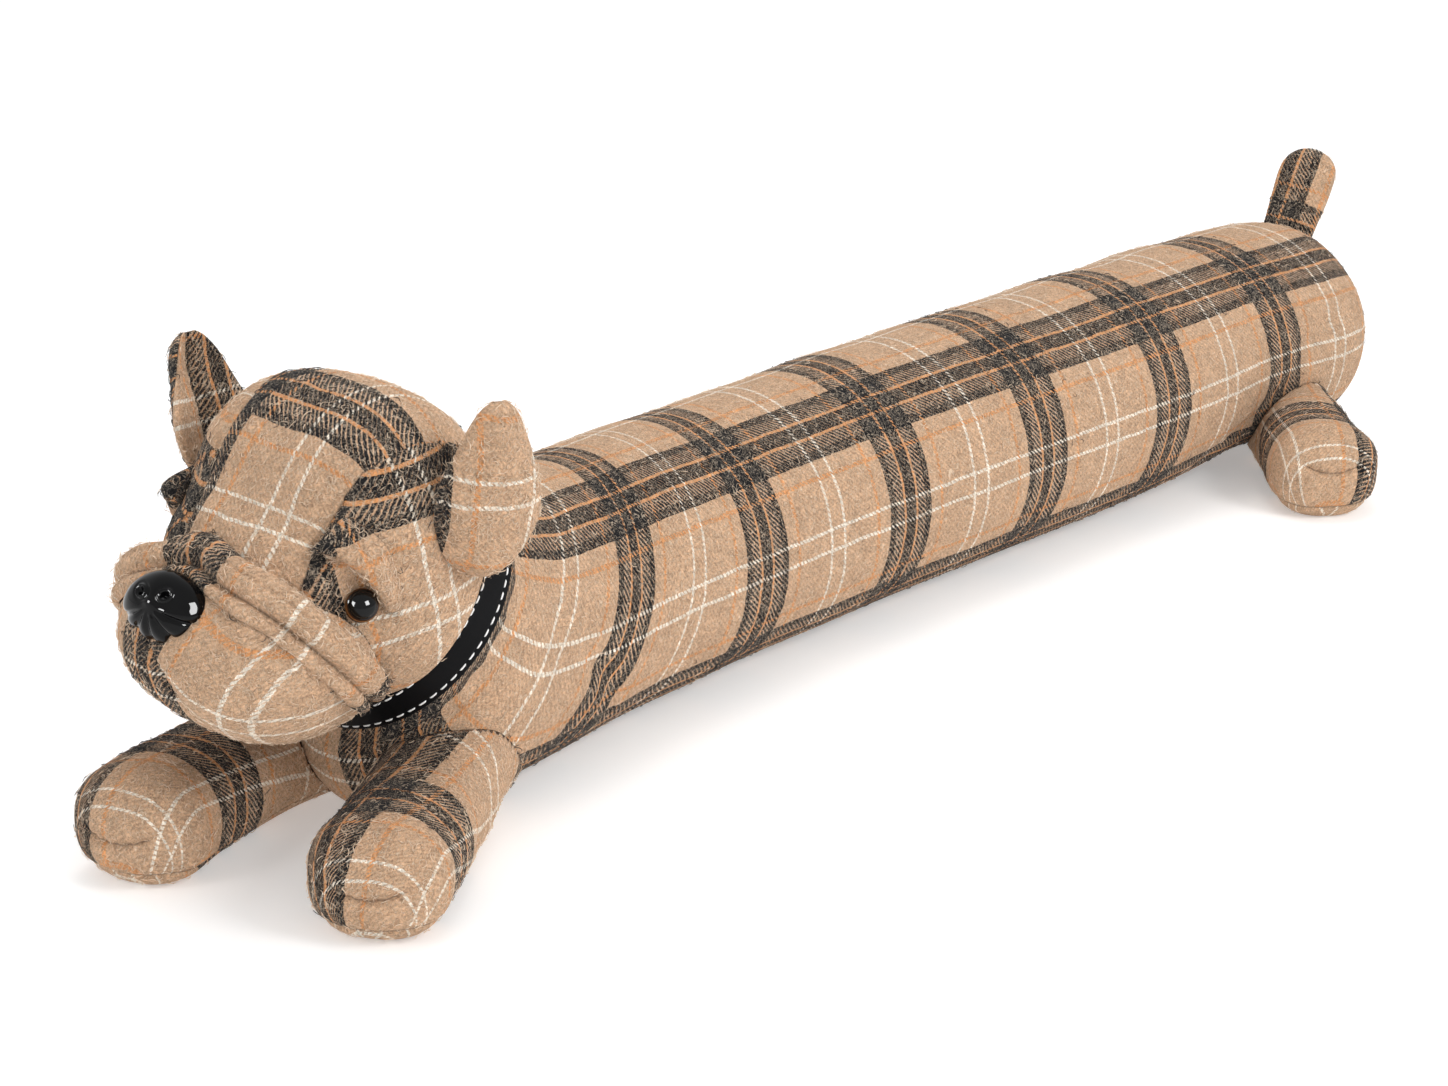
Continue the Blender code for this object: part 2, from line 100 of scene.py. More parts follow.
def soft_step(value: Array, low: float, high: float) -> Array:
    """Zero below low, one above high, and smooth between."""
    share = np.clip((value - low) / (high - low), 0.0, 1.0)
    return share * share * (3.0 - 2.0 * share)


def soft_least(first: Array, second: Array, blend: float) -> Array:
    """The smaller of two values, rounded where they cross."""
    mix = np.clip(0.5 + 0.5 * (second - first) / blend, 0.0, 1.0)
    return second * (1.0 - mix) + first * mix - blend * mix * (1.0 - mix)


def turns(count: int) -> Array:
    """Even angles round a section."""
    return np.arange(count) * (2.0 * math.pi / count)


def curve_between(start: Array, start_slope: Array, end: Array, end_slope: Array,
                  share: Array) -> Array:
    """Places on a smooth curve from one place to another, at shares of the way."""
    return ((2 * share**3 - 3 * share**2 + 1) * start
            + (share**3 - 2 * share**2 + share) * start_slope
            + (3 * share**2 - 2 * share**3) * end + (share**3 - share**2) * end_slope)


def smooth_rows(rows: Sequence[Sequence[float]], steps: int) -> Array:
    """Reads a smooth curve through a short table.

    Args:
        rows: The table, one row for each place.
        steps: How many rows come out between each two.

    Returns:
        The finer table.
    """
    table = np.array(rows, dtype=float)
    share = (np.arange(steps) / steps)[:, None]
    out = []
    for k in range(len(table) - 1):
        before, after = table[max(k - 1, 0)], table[min(k + 2, len(table) - 1)]
        near_slope, far_slope = (table[k + 1] - before) / 2.0, (after - table[k]) / 2.0
        out.append(curve_between(table[k], near_slope, table[k + 1], far_slope, share))
    out.append(table[-1:])
    return np.concatenate(out)


@dataclass(frozen=True)
class Lumps:
    """Uneven stuffing: a few long waves that run every way."""

    seed: int
    height: float
    wavelength: float
    waves: int = 14

    def at(self, points: Array) -> Array:
        """How far the skin stands out at each point."""
        rng = np.random.default_rng(self.seed)
        ways = unit(rng.normal(size=(self.waves, 3)))
        ways *= 2.0 * math.pi / (self.wavelength * rng.uniform(0.7, 1.8, (self.waves, 1)))
        phases = rng.uniform(0.0, 2.0 * math.pi, self.waves)
        total = np.sin(points @ ways.T + phases).sum(axis=-1)
        return self.height * total / math.sqrt(self.waves)


@dataclass(frozen=True)
class Crease:
    """A soft trough in cloth, along a bowed line in the cloth's own measures."""

    start: tuple[float, float]
    end: tuple[float, float]
    depth: float
    width: float
    bow: float = 0.0

    def at(self, first: Array, second: Array) -> Array:
        """How deep the trough is at each place of the cloth."""
        run = np.array(self.end) - np.array(self.start)
        length = float(np.linalg.norm(run))
        along_x, along_y = run / length
        along = ((first - self.start[0]) * along_x + (second - self.start[1]) * along_y) / length
        across = (second - self.start[1]) * along_x - (first - self.start[0]) * along_y
        inside = np.clip(along, 0.0, 1.0)
        across = across - self.bow * 4.0 * inside * (1.0 - inside)
        beyond = (along - inside) * length
        fade = np.sqrt(np.clip(4.0 * inside * (1.0 - inside), 0.0, 1.0))
        return self.depth * fade * np.exp(-(across**2 + beyond**2) / self.width**2)


# Skins


@dataclass
class Skin:
    """A closed skin with the measures of the cloth on it.

    cloth holds each point's place on its panel and its distance past the nearest seam, and
    panel holds its place on the next panel, which shows where that distance is above zero.
    """

    points: Array
    faces: list[Face]
    cloth: Array | None = None
    panel: Array | None = None
    extra: dict[str, Array] = field(default_factory=dict)

    def make(self, name: str, finish: bpy.types.Material | None) -> bpy.types.Object:
        """Makes the object, in its place in the frame.

        Args:
            name: The piece's name.
            finish: Its material.

        Returns:
            The new object.
        """
        mesh = bpy.data.meshes.new(name)
        mesh.from_pydata((self.points + CHEST).tolist(), [], self.faces)
        for label, rows in (("cloth", self.cloth), ("panel", self.panel)):
            if rows is not None:
                held = mesh.attributes.new(label, "FLOAT_VECTOR", "POINT")
                held.data.foreach_set("vector", rows.astype(np.float32).ravel())
        for label, values in self.extra.items():
            held = mesh.attributes.new(label, "FLOAT", "POINT")
            held.data.foreach_set("value", values.astype(np.float32))
        face_out(mesh)
        if finish:
            mesh.materials.append(finish)
        item = bpy.data.objects.new(name, mesh)
        bpy.context.scene.collection.objects.link(item)
        return item


def face_out(mesh: bpy.types.Mesh) -> None:
    """Turns every face outward and shades the mesh smooth."""
    work = bmesh.new()
    work.from_mesh(mesh)
    bmesh.ops.recalc_face_normals(work, faces=work.faces)
    work.to_mesh(mesh)
    work.free()
    mesh.shade_smooth()


def ringed(rings: Array) -> tuple[Array, list[Face]]:
    """Closes rings of points into one skin, each end to its own middle.

    Args:
        rings: Points by ring and by place round it.

    Returns:
        The points, the two middles last, and the faces.
    """
    rows, columns = rings.shape[:2]
    middles = np.stack([rings[0].mean(axis=0), rings[-1].mean(axis=0)])
    points = np.concatenate([rings.reshape(-1, rings.shape[2]), middles])
    faces: list[Face] = []
    for row in range(rows - 1):
        for column in range(columns):
            after = (column + 1) % columns
            faces.append((row * columns + column, row * columns + after,
                          (row + 1) * columns + after, (row + 1) * columns + column))
    first, last, end = rows * columns, rows * columns + 1, (rows - 1) * columns
    for column in range(columns):
        after = (column + 1) % columns
        faces.append((after, column, first))
        faces.append((end + column, end + after, last))
    return points, faces


def close_rows(rows: Array) -> Array:
    """Measures by ring and place, laid out as ringed lays out its points."""
    width = rows.shape[-1]
    return np.concatenate([rows.reshape(-1, width), rows[0].mean(axis=0)[None],
                           rows[-1].mean(axis=0)[None]])


def ring_normals(rings: Array) -> Array:
    """The way that a skin of rings faces, at each of its points."""
    along = np.gradient(rings, axis=0)
    around = np.roll(rings, -1, axis=1) - np.roll(rings, 1, axis=1)
    normals = unit(np.cross(around, along))
    outward = rings - rings.mean(axis=1, keepdims=True)
    if float(np.sum(normals * outward)) < 0.0:
        normals = -normals
    return normals


def carve(item: bpy.types.Object, *rooms: bpy.types.Object) -> None:
    """Takes each room out of a piece, so that the piece clears its neighbour."""
    for room in rooms:
        modifier = item.modifiers.new("Clear", "BOOLEAN")
        modifier.operation = "DIFFERENCE"
        modifier.solver = "MANIFOLD"
        modifier.object = room
    depsgraph = bpy.context.evaluated_depsgraph_get()
    cleared = bpy.data.meshes.new_from_object(item.evaluated_get(depsgraph),
                                              preserve_all_data_layers=True, depsgraph=depsgraph)
    item.modifiers.clear()
    old = item.data
    name = old.name
    item.data = cleared
    bpy.data.meshes.remove(old)
    cleared.name = name
    cleared.shade_smooth()


def discard(*items: bpy.types.Object) -> None:
    """Removes rooms that are no longer needed."""
    for item in items:
        bpy.data.objects.remove(item, do_unlink=True)


def settle(item: bpy.types.Object, node: str) -> None:
    """Puts a finished piece in the place of its solid.

    Args:
        item: The piece.
        node: The solid that it stands for, or an empty word for an added piece.
    """
    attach(item, BODY)
    if node:
        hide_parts(node)
    LOG.info("%s: %d faces", item.name, len(item.data.polygons))


def guide(name: str, rings: Array) -> bpy.types.Object:
    """A form a little larger than a piece, which keeps the piece's neighbours clear of it."""
    return Skin(*ringed(rings)).make(name, None)


def sew(node: str, rings: Array, cloth: Array, panel: Array, fill: float,
        finish: bpy.types.Material, *rooms: bpy.types.Object) -> None:
    """Makes a stuffed piece of cloth and puts it in the place of its solid.

    Args:
        node: The solid that it stands for.
        rings: Its skin's points.
        cloth: The measures on its first panel, with the distance past its seam.
        panel: The measures on its next panel.
        fill: How tightly it is filled; not used.
        finish: Its material.
        rooms: The guides that it is cut clear of.
    """
    skin = Skin(*ringed(rings), close_rows(cloth), close_rows(panel))
    item = skin.make(node + "_cloth", finish)
    if rooms:
        carve(item, *rooms)
    settle(item, node)


# Shader sums


class Wire:
    """A node's output that Python's signs can work with."""

    def __init__(self, graph: "Graph", socket: bpy.types.NodeSocket) -> None:
        """Keeps the output and the material that it is in."""
        self.graph = graph
        self.socket = socket

    def _sum(self, operation: str, *values: "Wire | float") -> "Wire":
        """One Math node on these values."""
        return self.graph.add("ShaderNodeMath", {"operation": operation}, dict(enumerate(values)))

    def __add__(self, other: "Wire | float") -> "Wire":
        """The sum."""
        return self._sum("ADD", self, other)

    def __radd__(self, other: float) -> "Wire":
        """The sum, from the other side."""
        return self._sum("ADD", other, self)

    def __sub__(self, other: "Wire | float") -> "Wire":
        """The difference."""
        return self._sum("SUBTRACT", self, other)

    def __rsub__(self, other: float) -> "Wire":
        """The difference, from the other side."""
        return self._sum("SUBTRACT", other, self)

    def __mul__(self, other: "Wire | float") -> "Wire":
        """The product."""
        return self._sum("MULTIPLY", self, other)

    def __rmul__(self, other: float) -> "Wire":
        """The product, from the other side."""
        return self._sum("MULTIPLY", other, self)

    def __truediv__(self, other: "Wire | float") -> "Wire":
        """The share."""
        return self._sum("DIVIDE", self, other)

    def __gt__(self, other: float) -> "Wire":
        """One where it is greater, else zero."""
        return self._sum("GREATER_THAN", self, other)

    def __abs__(self) -> "Wire":
        """The size without its sign."""
        return self._sum("ABSOLUTE", self)

    def clamped(self) -> "Wire":
        """Held between zero and one."""
        return self._sum("MINIMUM", self._sum("MAXIMUM", self, 0.0), 1.0)

    def zigzag(self, reach: float) -> "Wire":
        """Up to reach and down again, over and over."""
        return self._sum("PINGPONG", self, reach)


class Graph:
    """A material's nodes, all made by one method."""

    def __init__(self, name: str) -> None:
        """Starts a material with its shader."""
        self.material = bpy.data.materials.new(name)
        self.material.use_nodes = True
        self.tree = self.material.node_tree
        self.shader = self.tree.nodes["Principled BSDF"]

    def add(self, kind: str, settings: dict | None = None, sockets: dict | None = None,
            output: int | str = 0) -> Wire:
        """Adds one node.

        Args:
            kind: The node's type.
            settings: Its own settings, a ramp's stops among them, which are set first.
            sockets: A value or a link for each input, by name or number.
            output: Which output comes back.

        Returns:
            That output.
        """
        node = self.tree.nodes.new(kind)
        for label, value in (settings or {}).items():
            if label == "stops":
                self._fill_ramp(node.color_ramp, value)
            elif label == "steps":
                node.color_ramp.interpolation = value
            else:
                setattr(node, label, value)
        for label, value in (sockets or {}).items():
            if isinstance(value, Wire):
                self.tree.links.new(value.socket, node.inputs[label])
            else:
                node.inputs[label].default_value = value
        return Wire(self, node.outputs[output])

    @staticmethod
    def _fill_ramp(ramp: bpy.types.ColorRamp, stops: Sequence[tuple[float, tuple]]) -> None:
        """Gives a ramp its places and colours."""
        while len(ramp.elements) < len(stops):
            ramp.elements.new(1.0)
        for element, (place, colour) in zip(ramp.elements, stops):
            element.position = place
            element.color = colour

    def mix(self, share: Wire | float, low: Wire | tuple, high: Wire | tuple,
            blend: str = "MIX") -> Wire:
        """A colour between two, or one laid over the other."""
        return self.add("ShaderNodeMix", {"data_type": "RGBA", "blend_type": blend},
                        {0: share, 6: low, 7: high}, 2)

    def noise(self, place: Wire, scale: float, detail: float = 2.0, warp: float = 0.0) -> Wire:
        """Noise with a mean of a half."""
        return self.add("ShaderNodeTexNoise", {},
                        {"Vector": place, "Scale": scale, "Detail": detail, "Distortion": warp})

    def parts(self, vector: Wire) -> tuple[Wire, Wire, Wire]:
        """The three numbers of a vector."""
        split = self.add("ShaderNodeSeparateXYZ", {}, {0: vector})
        outputs = split.socket.node.outputs
        return split, Wire(self, outputs[1]), Wire(self, outputs[2])

    def feed(self, label: str, value: Wire | float | tuple) -> None:
        """Links or sets one of the shader's inputs."""
        socket = self.shader.inputs[label]
        if isinstance(value, Wire):
            self.tree.links.new(value.socket, socket)
        else:
            socket.default_value = value

    def bump(self, height: Wire, strength: float, distance: float) -> None:
        """Raises the surface by a height."""
        self.feed("Normal", self.add("ShaderNodeBump", {}, {
            "Strength": strength, "Distance": distance, "Height": height}))


class Stripe(NamedTuple):
    """A stripe of the check: where it starts from the repeat's middle, its colour and cover."""

    start: float
    colour: tuple[float, float, float]
    cover: float


@dataclass(frozen=True)
class TweedFinish:
    """Brushed checked tweed, woven in a twill of dyed threads, with painted shade along its seams and
    beside its fibres.
    """

    name: str = "Checked tweed"
    repeat: float = 0.124
    twill: float = 0.0030
    ground: tuple[float, float, float] = (0.650, 0.418, 0.264)
    shade: tuple[float, float, float] = (0.588, 0.368, 0.226)
    charcoal: tuple[float, float, float] = (0.010, 0.010, 0.011)
    grey: tuple[float, float, float] = (0.020, 0.020, 0.021)
    rust: tuple[float, float, float] = (0.700, 0.320, 0.130)
    cream: tuple[float, float, float] = (0.950, 0.850, 0.720)
    fibre: tuple[float, float, float] = (0.920, 0.740, 0.555)
    # The colour of painted shade, laid beside the fibres and along the seams.
    painted_shade: tuple[float, float, float] = (0.055, 0.040, 0.030)
    band_stripes: int = 4
    hair_cover: float = 0.62
    # How strongly the painted shadow beside the fibres darkens the cloth.
    gap_shade_cover: float = 0.24
    # How strongly and how wide painted shade darkens the cloth along each seam.
    seam_shade_cover: float = 0.60
    seam_shade_width: float = 0.0008

    def stripes(self, ground: tuple[float, float, float]) -> tuple[Stripe, ...]:
        """The stripes from the middle of the dark band to the middle of the ground."""
        return (
            Stripe(0.0, self.charcoal, 0.95),
            Stripe(0.0042, self.rust, 0.82),
            Stripe(0.0060, self.grey, 0.70),
            Stripe(0.0130, self.charcoal, 0.93),
            Stripe(0.0180, ground, 0.5),
            Stripe(0.0265, self.rust, 0.76),
            Stripe(0.0290, ground, 0.5),
            Stripe(0.0552, self.cream, 0.76),
            Stripe(0.0571, ground, 0.5),
        )

    def _threads(self, graph: Graph, place: Wire, ground: tuple[float, float, float]) -> Wire:
        """The ramp of one direction's threads; its alpha is their cover."""
        half = self.repeat / 2.0
        stops = [(stripe.start / half, (*stripe.colour, stripe.cover))
                 for stripe in self.stripes(ground)]
        return graph.add("ShaderNodeValToRGB", {"stops": stops, "steps": "CONSTANT"},
                         {0: place.zigzag(half) / half})

    def make(self) -> bpy.types.Material:
        """Builds the material."""
        graph = Graph(self.name)
        cloth = graph.add("ShaderNodeAttribute", {"attribute_name": "cloth"}, output="Vector")
        panel = graph.add("ShaderNodeAttribute", {"attribute_name": "panel"}, output="Vector")
        seam = graph.parts(cloth)[2]
        shown = graph.add("ShaderNodeMix", {"data_type": "VECTOR"},
                          {0: seam > 0.0, 4: cloth, 5: panel}, 1)
        place = graph.add("ShaderNodeTexCoord", output="Object")
        long_way, cross_way, _ = graph.parts(shown)

        sway = graph.noise(place, 70.0)
        fray = graph.noise(place, 1500.0, 2.0)
        long_way = long_way + (sway - 0.5) * 0.0022 + (fray - 0.5) * 0.0011
        cross_way = cross_way + (sway - 0.5) * 0.0018 + (fray - 0.5) * 0.0011
        warp = self._threads(graph, cross_way, self.ground)
        weft = self._threads(graph, long_way, self.shade)
        warp_cover = Wire(graph, warp.socket.node.outputs[1])
        weft_cover = Wire(graph, weft.socket.node.outputs[1])

        rib = ((long_way + cross_way) * (2.0 / self.twill)).zigzag(1.0)
        speck = graph.noise(place, 560.0, 2.0)
        share = 0.5 + (warp_cover - weft_cover) * 0.95 + (speck - 0.5) * 0.55
        over = ((share - rib) * 4.5 + 0.5 + (fray - 0.5) * 1.2).clamped()
        colour = graph.mix(over, weft, warp)

        melange = graph.noise(place, 900.0, 3.0)
        nap = graph.noise(place, 380.0, 2.0, 0.8)
        patches = graph.noise(place, 80.0, 2.0)
        tone = (0.96 + (melange - 0.5) * 0.9 + (nap - 0.5) * 0.8 + (patches - 0.5) * 0.30
                - rib * 0.05)
        toned = graph.add("ShaderNodeVectorMath", {"operation": "SCALE"}, {0: colour, 3: tone})
        strands = ((graph.noise(place, 150.0, 1.0) - 0.40) * 5.0).clamped()
        curl = self._curls(graph, place, 155.0, 15.0)
        loops = self._curls(graph, place, 230.0, 12.0)
        hairs = (curl * strands + loops * (1.0 - strands)).clamped()
        # Painted shadow: thin curly dark gaps beside the fibres, as if the raised fibres shaded the
        # cloth; the same gaps also dip the bump.
        shaded_gaps = self._curls(graph, place, 190.0, 11.0)
        toned = graph.mix(shaded_gaps * self.gap_shade_cover, toned, (*self.painted_shade, 1.0))
        toned = graph.mix(hairs * self.hair_cover, toned, (*self.fibre, 1.0))
        # Painted shade: a thin dark line along each seam, where the sewn groove would fall into shade.
        dip = 1.0 - (abs(seam) / self.seam_shade_width).clamped()
        graph.feed("Base Color", graph.mix(dip * self.seam_shade_cover, toned, (*self.painted_shade, 1.0)))
        graph.feed("Roughness", 0.95)
        graph.feed("Specular IOR Level", 0.04)
        graph.feed("Sheen Weight", 0.06)
        graph.feed("Sheen Roughness", 0.5)
        relief = melange * 0.6 + nap * 0.9 + rib * 0.15 + hairs * 0.8 - shaded_gaps * 0.5
        graph.bump(relief, 0.75, 0.0012)
        return graph.material

    @staticmethod
    def _curls(graph: Graph, place: Wire, scale: float, thinness: float) -> Wire:
        """Thin curly lines: one on a fibre, zero beside it."""
        return 1.0 - (abs(graph.noise(place, scale, 1.0, 2.4) - 0.5) * thinness * 2.0).clamped()

    def dark_share(self, cloth: Array, panel: Array) -> Array:
        """Args:
            cloth: The measures on the first panel, with the distance past its seam.
            panel: The measures on the next panel.

        Returns:
            The share.
        """
        shown = np.where(cloth[:, 2:] > 0.0, panel, cloth)[:, :2]
        half = self.repeat / 2.0
        folded = np.abs((shown + half) % self.repeat - half)
        band = self.stripes(self.ground)[self.band_stripes].start
        return (folded < band).mean(axis=1)


@dataclass(frozen=True)
class SatinFinish:
    """Smooth black leatherette with a faint grain."""

    name: str = "Black leatherette"
    colour: tuple[float, float, float] = (0.0016, 0.0016, 0.0019)

    def make(self) -> bpy.types.Material:
        """Builds the material."""
        graph = Graph(self.name)
        place = graph.add("ShaderNodeTexCoord", output="Object")
        grain = graph.add("ShaderNodeTexVoronoi", {"feature": "DISTANCE_TO_EDGE"},
                          {"Vector": place, "Scale": 1300.0})
        cloud = graph.noise(place, 60.0)
        graph.feed("Base Color", graph.mix(cloud, (*self.colour, 1.0), (0.004, 0.004, 0.005, 1.0)))
        graph.feed("Roughness", 0.45 + cloud * 0.16)
        graph.feed("Specular IOR Level", 0.055)
        graph.bump((grain * 6.0).clamped(), 0.18, 0.0003)
        return graph.material


@dataclass(frozen=True)
class ThreadFinish:
    """Thick white sewing thread, twisted."""

    name: str = "White thread"

    def make(self) -> bpy.types.Material:
        """Builds the material."""
        graph = Graph(self.name)
        place = graph.add("ShaderNodeTexCoord", output="Object")
        twist = graph.noise(place, 1600.0)
        graph.feed("Base Color", graph.mix(twist, (0.84, 0.83, 0.81, 1.0), (0.97, 0.96, 0.95, 1.0)))
        graph.feed("Roughness", 0.75)
        graph.bump(twist, 0.4, 0.0003)
        return graph.material


@dataclass(frozen=True)
class GlossFinish:
    """Polished black moulding."""

    name: str = "Black moulding"

    def make(self) -> bpy.types.Material:
        """Builds the material."""
        graph = Graph(self.name)
        place = graph.add("ShaderNodeTexCoord", output="Object")
        cloud = graph.noise(place, 160.0)
        graph.feed("Base Color", graph.mix(cloud, (0.0012, 0.0012, 0.0014, 1.0),
                                           (0.0030, 0.0030, 0.0034, 1.0)))
        graph.feed("Roughness", 0.012 + cloud * 0.03)
        graph.feed("Specular IOR Level", 0.17)
        graph.bump(graph.noise(place, 180.0, 1.0), 0.015, 0.0004)
        return graph.material


@dataclass(frozen=True)
class EyeFinish:
    """A black domed eye with a brown ring near its rim."""

    name: str = "Eye gloss"

    def make(self) -> bpy.types.Material:
        """Builds the material."""
        graph = Graph(self.name)
        turn = graph.add("ShaderNodeAttribute", {"attribute_name": "turn"}, output="Fac")
        black, brown, amber = (0.004, 0.004, 0.004, 1), (0.07, 0.025, 0.008, 1), (0.30, 0.13, 0.04, 1)
        ring = graph.add("ShaderNodeValToRGB", {"stops": [
            (0.0, black), (0.66, black), (0.73, brown), (0.80, amber), (0.90, brown), (1.0, black)]},
            {0: turn})
        place = graph.add("ShaderNodeTexCoord", output="Object")
        flecks = graph.noise(place, 900.0)
        graph.feed("Base Color", graph.mix(flecks * 0.5, ring, black))
        graph.feed("Roughness", 0.012 + flecks * 0.012)
        graph.feed("Specular IOR Level", 0.20)
        return graph.material


@dataclass(frozen=True)
class FibreFinish:
    """One loose wool fibre's finish, too fine for any pattern of its own."""

    name: str
    colour: tuple[float, float, float]

    def make(self) -> bpy.types.Material:
        """Builds the material."""
        graph = Graph(self.name)
        graph.feed("Base Color", (*self.colour, 1.0))
        graph.feed("Roughness", 0.8)
        graph.feed("Specular IOR Level", 0.1)
        return graph.material


@dataclass(frozen=True)
class FloorFinish:
    """A plain white studio floor."""

    name: str = "Studio white"
    glow: float = 0.31

    def make(self) -> bpy.types.Material:
        """Builds the material."""
        graph = Graph(self.name)
        tone = graph.noise(graph.add("ShaderNodeTexCoord", output="Object"), 3.0)
        graph.feed("Base Color", graph.mix(tone, (0.80, 0.80, 0.80, 1.0), (0.84, 0.84, 0.84, 1.0)))
        graph.feed("Roughness", 0.9)
        graph.feed("Specular IOR Level", 0.1)
        graph.feed("Emission Color", (1.0, 1.0, 1.0, 1.0))
        graph.feed("Emission Strength", self.glow)
        return graph.material


@dataclass(frozen=True)
class Finishes:
    """Every material of the piece."""

    tweed: bpy.types.Material
    satin: bpy.types.Material
    thread: bpy.types.Material
    gloss: bpy.types.Material
    eye: bpy.types.Material

    @classmethod
    def made(cls) -> "Finishes":
        """Makes them all."""
        return cls(TweedFinish().make(), SatinFinish().make(), ThreadFinish().make(),
                   GlossFinish().make(), EyeFinish().make())


# The stuffed tube


class TubeSection(NamedTuple):
    """Where the tube's section stands, and how much of the body's bend it takes."""

    top_along: float
    top_height: float
    bottom_along: float
    bottom_height: float
    half_width: float
    bend_share: float


@dataclass
class Tube:
    """The body: neck under the collar, bent front part, straight tube and rounded rear."""

    length: float = 0.874
    around: int = 200
    steps: int = 13
    middle_height: float = 0.0698
    rear_rounding: float = 0.032
    rear_steps: int = 26
    rear_power: float = 0.62
    bend_length: float = 0.45
    bend_angle: float = 0.30
    neck_radius: float = 0.0640
    neck_edge: float = 0.003
    neck_tilt: float = math.radians(42.0)
    neck_face: Array = field(default_factory=lambda: np.array((0.0195, 0.006, 0.125)))
    strap_width: float = 0.0225
    band_turn: float = math.radians(-36.0)
    band_start: float = 0.016
    belly_turn: float = math.radians(152.0)
    belly_shift: float = 0.031
    cloth_radius: float = 0.0705
    gathers: float = 23.0
    gather_depth: float = 0.0013
    sections: tuple[TubeSection, ...] = (
        TubeSection(0.0950, 0.1520, -0.0040, 0.0450, 0.0655, 0.10),
        TubeSection(0.1120, 0.1475, 0.0010, 0.0280, 0.0675, 0.25),
        TubeSection(0.1300, 0.1440, 0.0140, 0.0100, 0.0690, 0.45),
        TubeSection(0.1480, 0.1430, 0.0340, 0.0000, 0.0695, 0.70),
        TubeSection(0.1700, 0.1410, 0.0720, -0.0035, 0.0700, 0.90),
        TubeSection(0.2000, 0.1410, 0.1300, -0.0035, 0.0700, 1.00),
        TubeSection(0.2400, 0.1404, 0.2100, -0.0035, 0.0700, 1.00),
        TubeSection(0.2900, 0.1400, 0.2900, -0.0035, 0.0700, 1.00),
        TubeSection(0.4500, 0.1430, 0.4500, -0.0035, 0.0715, 1.00),
        TubeSection(0.6500, 0.1440, 0.6500, -0.0035, 0.0740, 1.00),
        TubeSection(0.7450, 0.1432, 0.7450, 0.0030, 0.0742, 1.00),
        TubeSection(0.8250, 0.1412, 0.8250, -0.0010, 0.0755, 1.00),
    )
    lumps: Lumps = Lumps(seed=3, height=0.0005, wavelength=0.070)
    creases: tuple[Crease, ...] = (
        Crease((0.095, -0.105), (0.165, -0.150), 0.0035, 0.0060, 0.006),
        Crease((0.060, -0.070), (0.105, -0.125), 0.0016, 0.0070, -0.004),
        Crease((0.130, -0.030), (0.150, -0.085), 0.0008, 0.0080, 0.004),
        Crease((0.690, -0.165), (0.760, -0.120), 0.0030, 0.0080, -0.006),
        Crease((0.770, -0.105), (0.850, -0.085), 0.0026, 0.0070, 0.006),
        Crease((0.740, -0.150), (0.800, -0.095), 0.0018, 0.0060, 0.002),
        Crease((0.770, 0.105), (0.850, 0.085), 0.0026, 0.0070, -0.006),
        Crease((0.095, 0.105), (0.165, 0.150), 0.0030, 0.0070, -0.006),
        Crease((0.330, -0.040), (0.350, -0.120), 0.0006, 0.0120, 0.004),
        Crease((0.560, -0.020), (0.585, -0.110), 0.0006, 0.0140, -0.004),
    )

    def heading(self, along: Array) -> Array:
        """The middle line's heading in plan: bent near the chest, then straight."""
        bent = self.bend_angle * (1.0 - along / self.bend_length) ** 2
        return np.where(along >= self.bend_length, 0.0, bent)

    def spine(self, along: Array) -> Array:
        """The middle line's points in plan."""
        steps = 200
        size = along[:, None] / steps
        headings = self.heading(size * (np.arange(steps) + 0.5))
        return np.stack([(np.cos(headings) * size).sum(axis=1),
                         (np.sin(headings) * size).sum(axis=1)], axis=1)

    def rings(self, rows: Array, grow: float, around: int) -> Array:
        """The sections: ellipses through their tops and bottoms, pressed flat on the floor."""
        top_along, top_height, low_along, low_height, half_width, bend_share = rows.T
        middle_along = (top_along + low_along) / 2.0
        plan = self.spine(middle_along)
        heading = self.heading(middle_along) * bend_share
        flat = np.zeros_like(heading)
        forward = np.stack([np.cos(heading), np.sin(heading), flat], axis=1)
        side = np.stack([-np.sin(heading), np.cos(heading), flat], axis=1)
        middle = np.column_stack([plan, (top_height + low_height) / 2.0])
        rise = forward * (top_along - low_along)[:, None] / 2.0
        rise[:, 2] += (top_height - low_height) / 2.0
        rise *= 1.0 + grow / np.linalg.norm(rise, axis=1, keepdims=True)
        angle = turns(around)[None, :, None]
        points = (middle[:, None] + rise[:, None] * np.cos(angle)
                  + side[:, None] * (half_width + grow)[:, None, None] * np.sin(angle))
        points[..., 2] = np.maximum(points[..., 2], -grow)
        return points

    def neck_axes(self) -> tuple[Array, Array]:
        """The way that the neck faces, and the way up its face."""
        cos, sin = math.cos(self.neck_tilt), math.sin(self.neck_tilt)
        return AHEAD * cos + UP * sin, UP * cos - AHEAD * sin

    def neck_ring(self, back: float, radius: float, around: int) -> Array:
        """A round section of the neck, a distance behind its front face."""
        normal, top = self.neck_axes()
        angle = turns(around)[:, None]
        return self.neck_face - normal * back + radius * (top * np.cos(angle) - LEFT * np.sin(angle))

    def rear_rows(self, steps: int) -> Array:
        """The rear end's sections, closing over the rounding."""
        last = self.sections[-1]
        rounded = self.rear_rounding / last.half_width
        turn = np.radians(90.0) * np.arange(1, steps) / steps
        along = last.top_along + (self.length - last.top_along) * np.sin(turn)
        size = 1.0 - rounded + rounded * np.cos(turn) ** self.rear_power
        top = self.middle_height + (last.top_height - self.middle_height) * size
        low = self.middle_height + (last.bottom_height - self.middle_height) * size
        return np.column_stack([along, top, along, low, last.half_width * size, np.ones_like(size)])

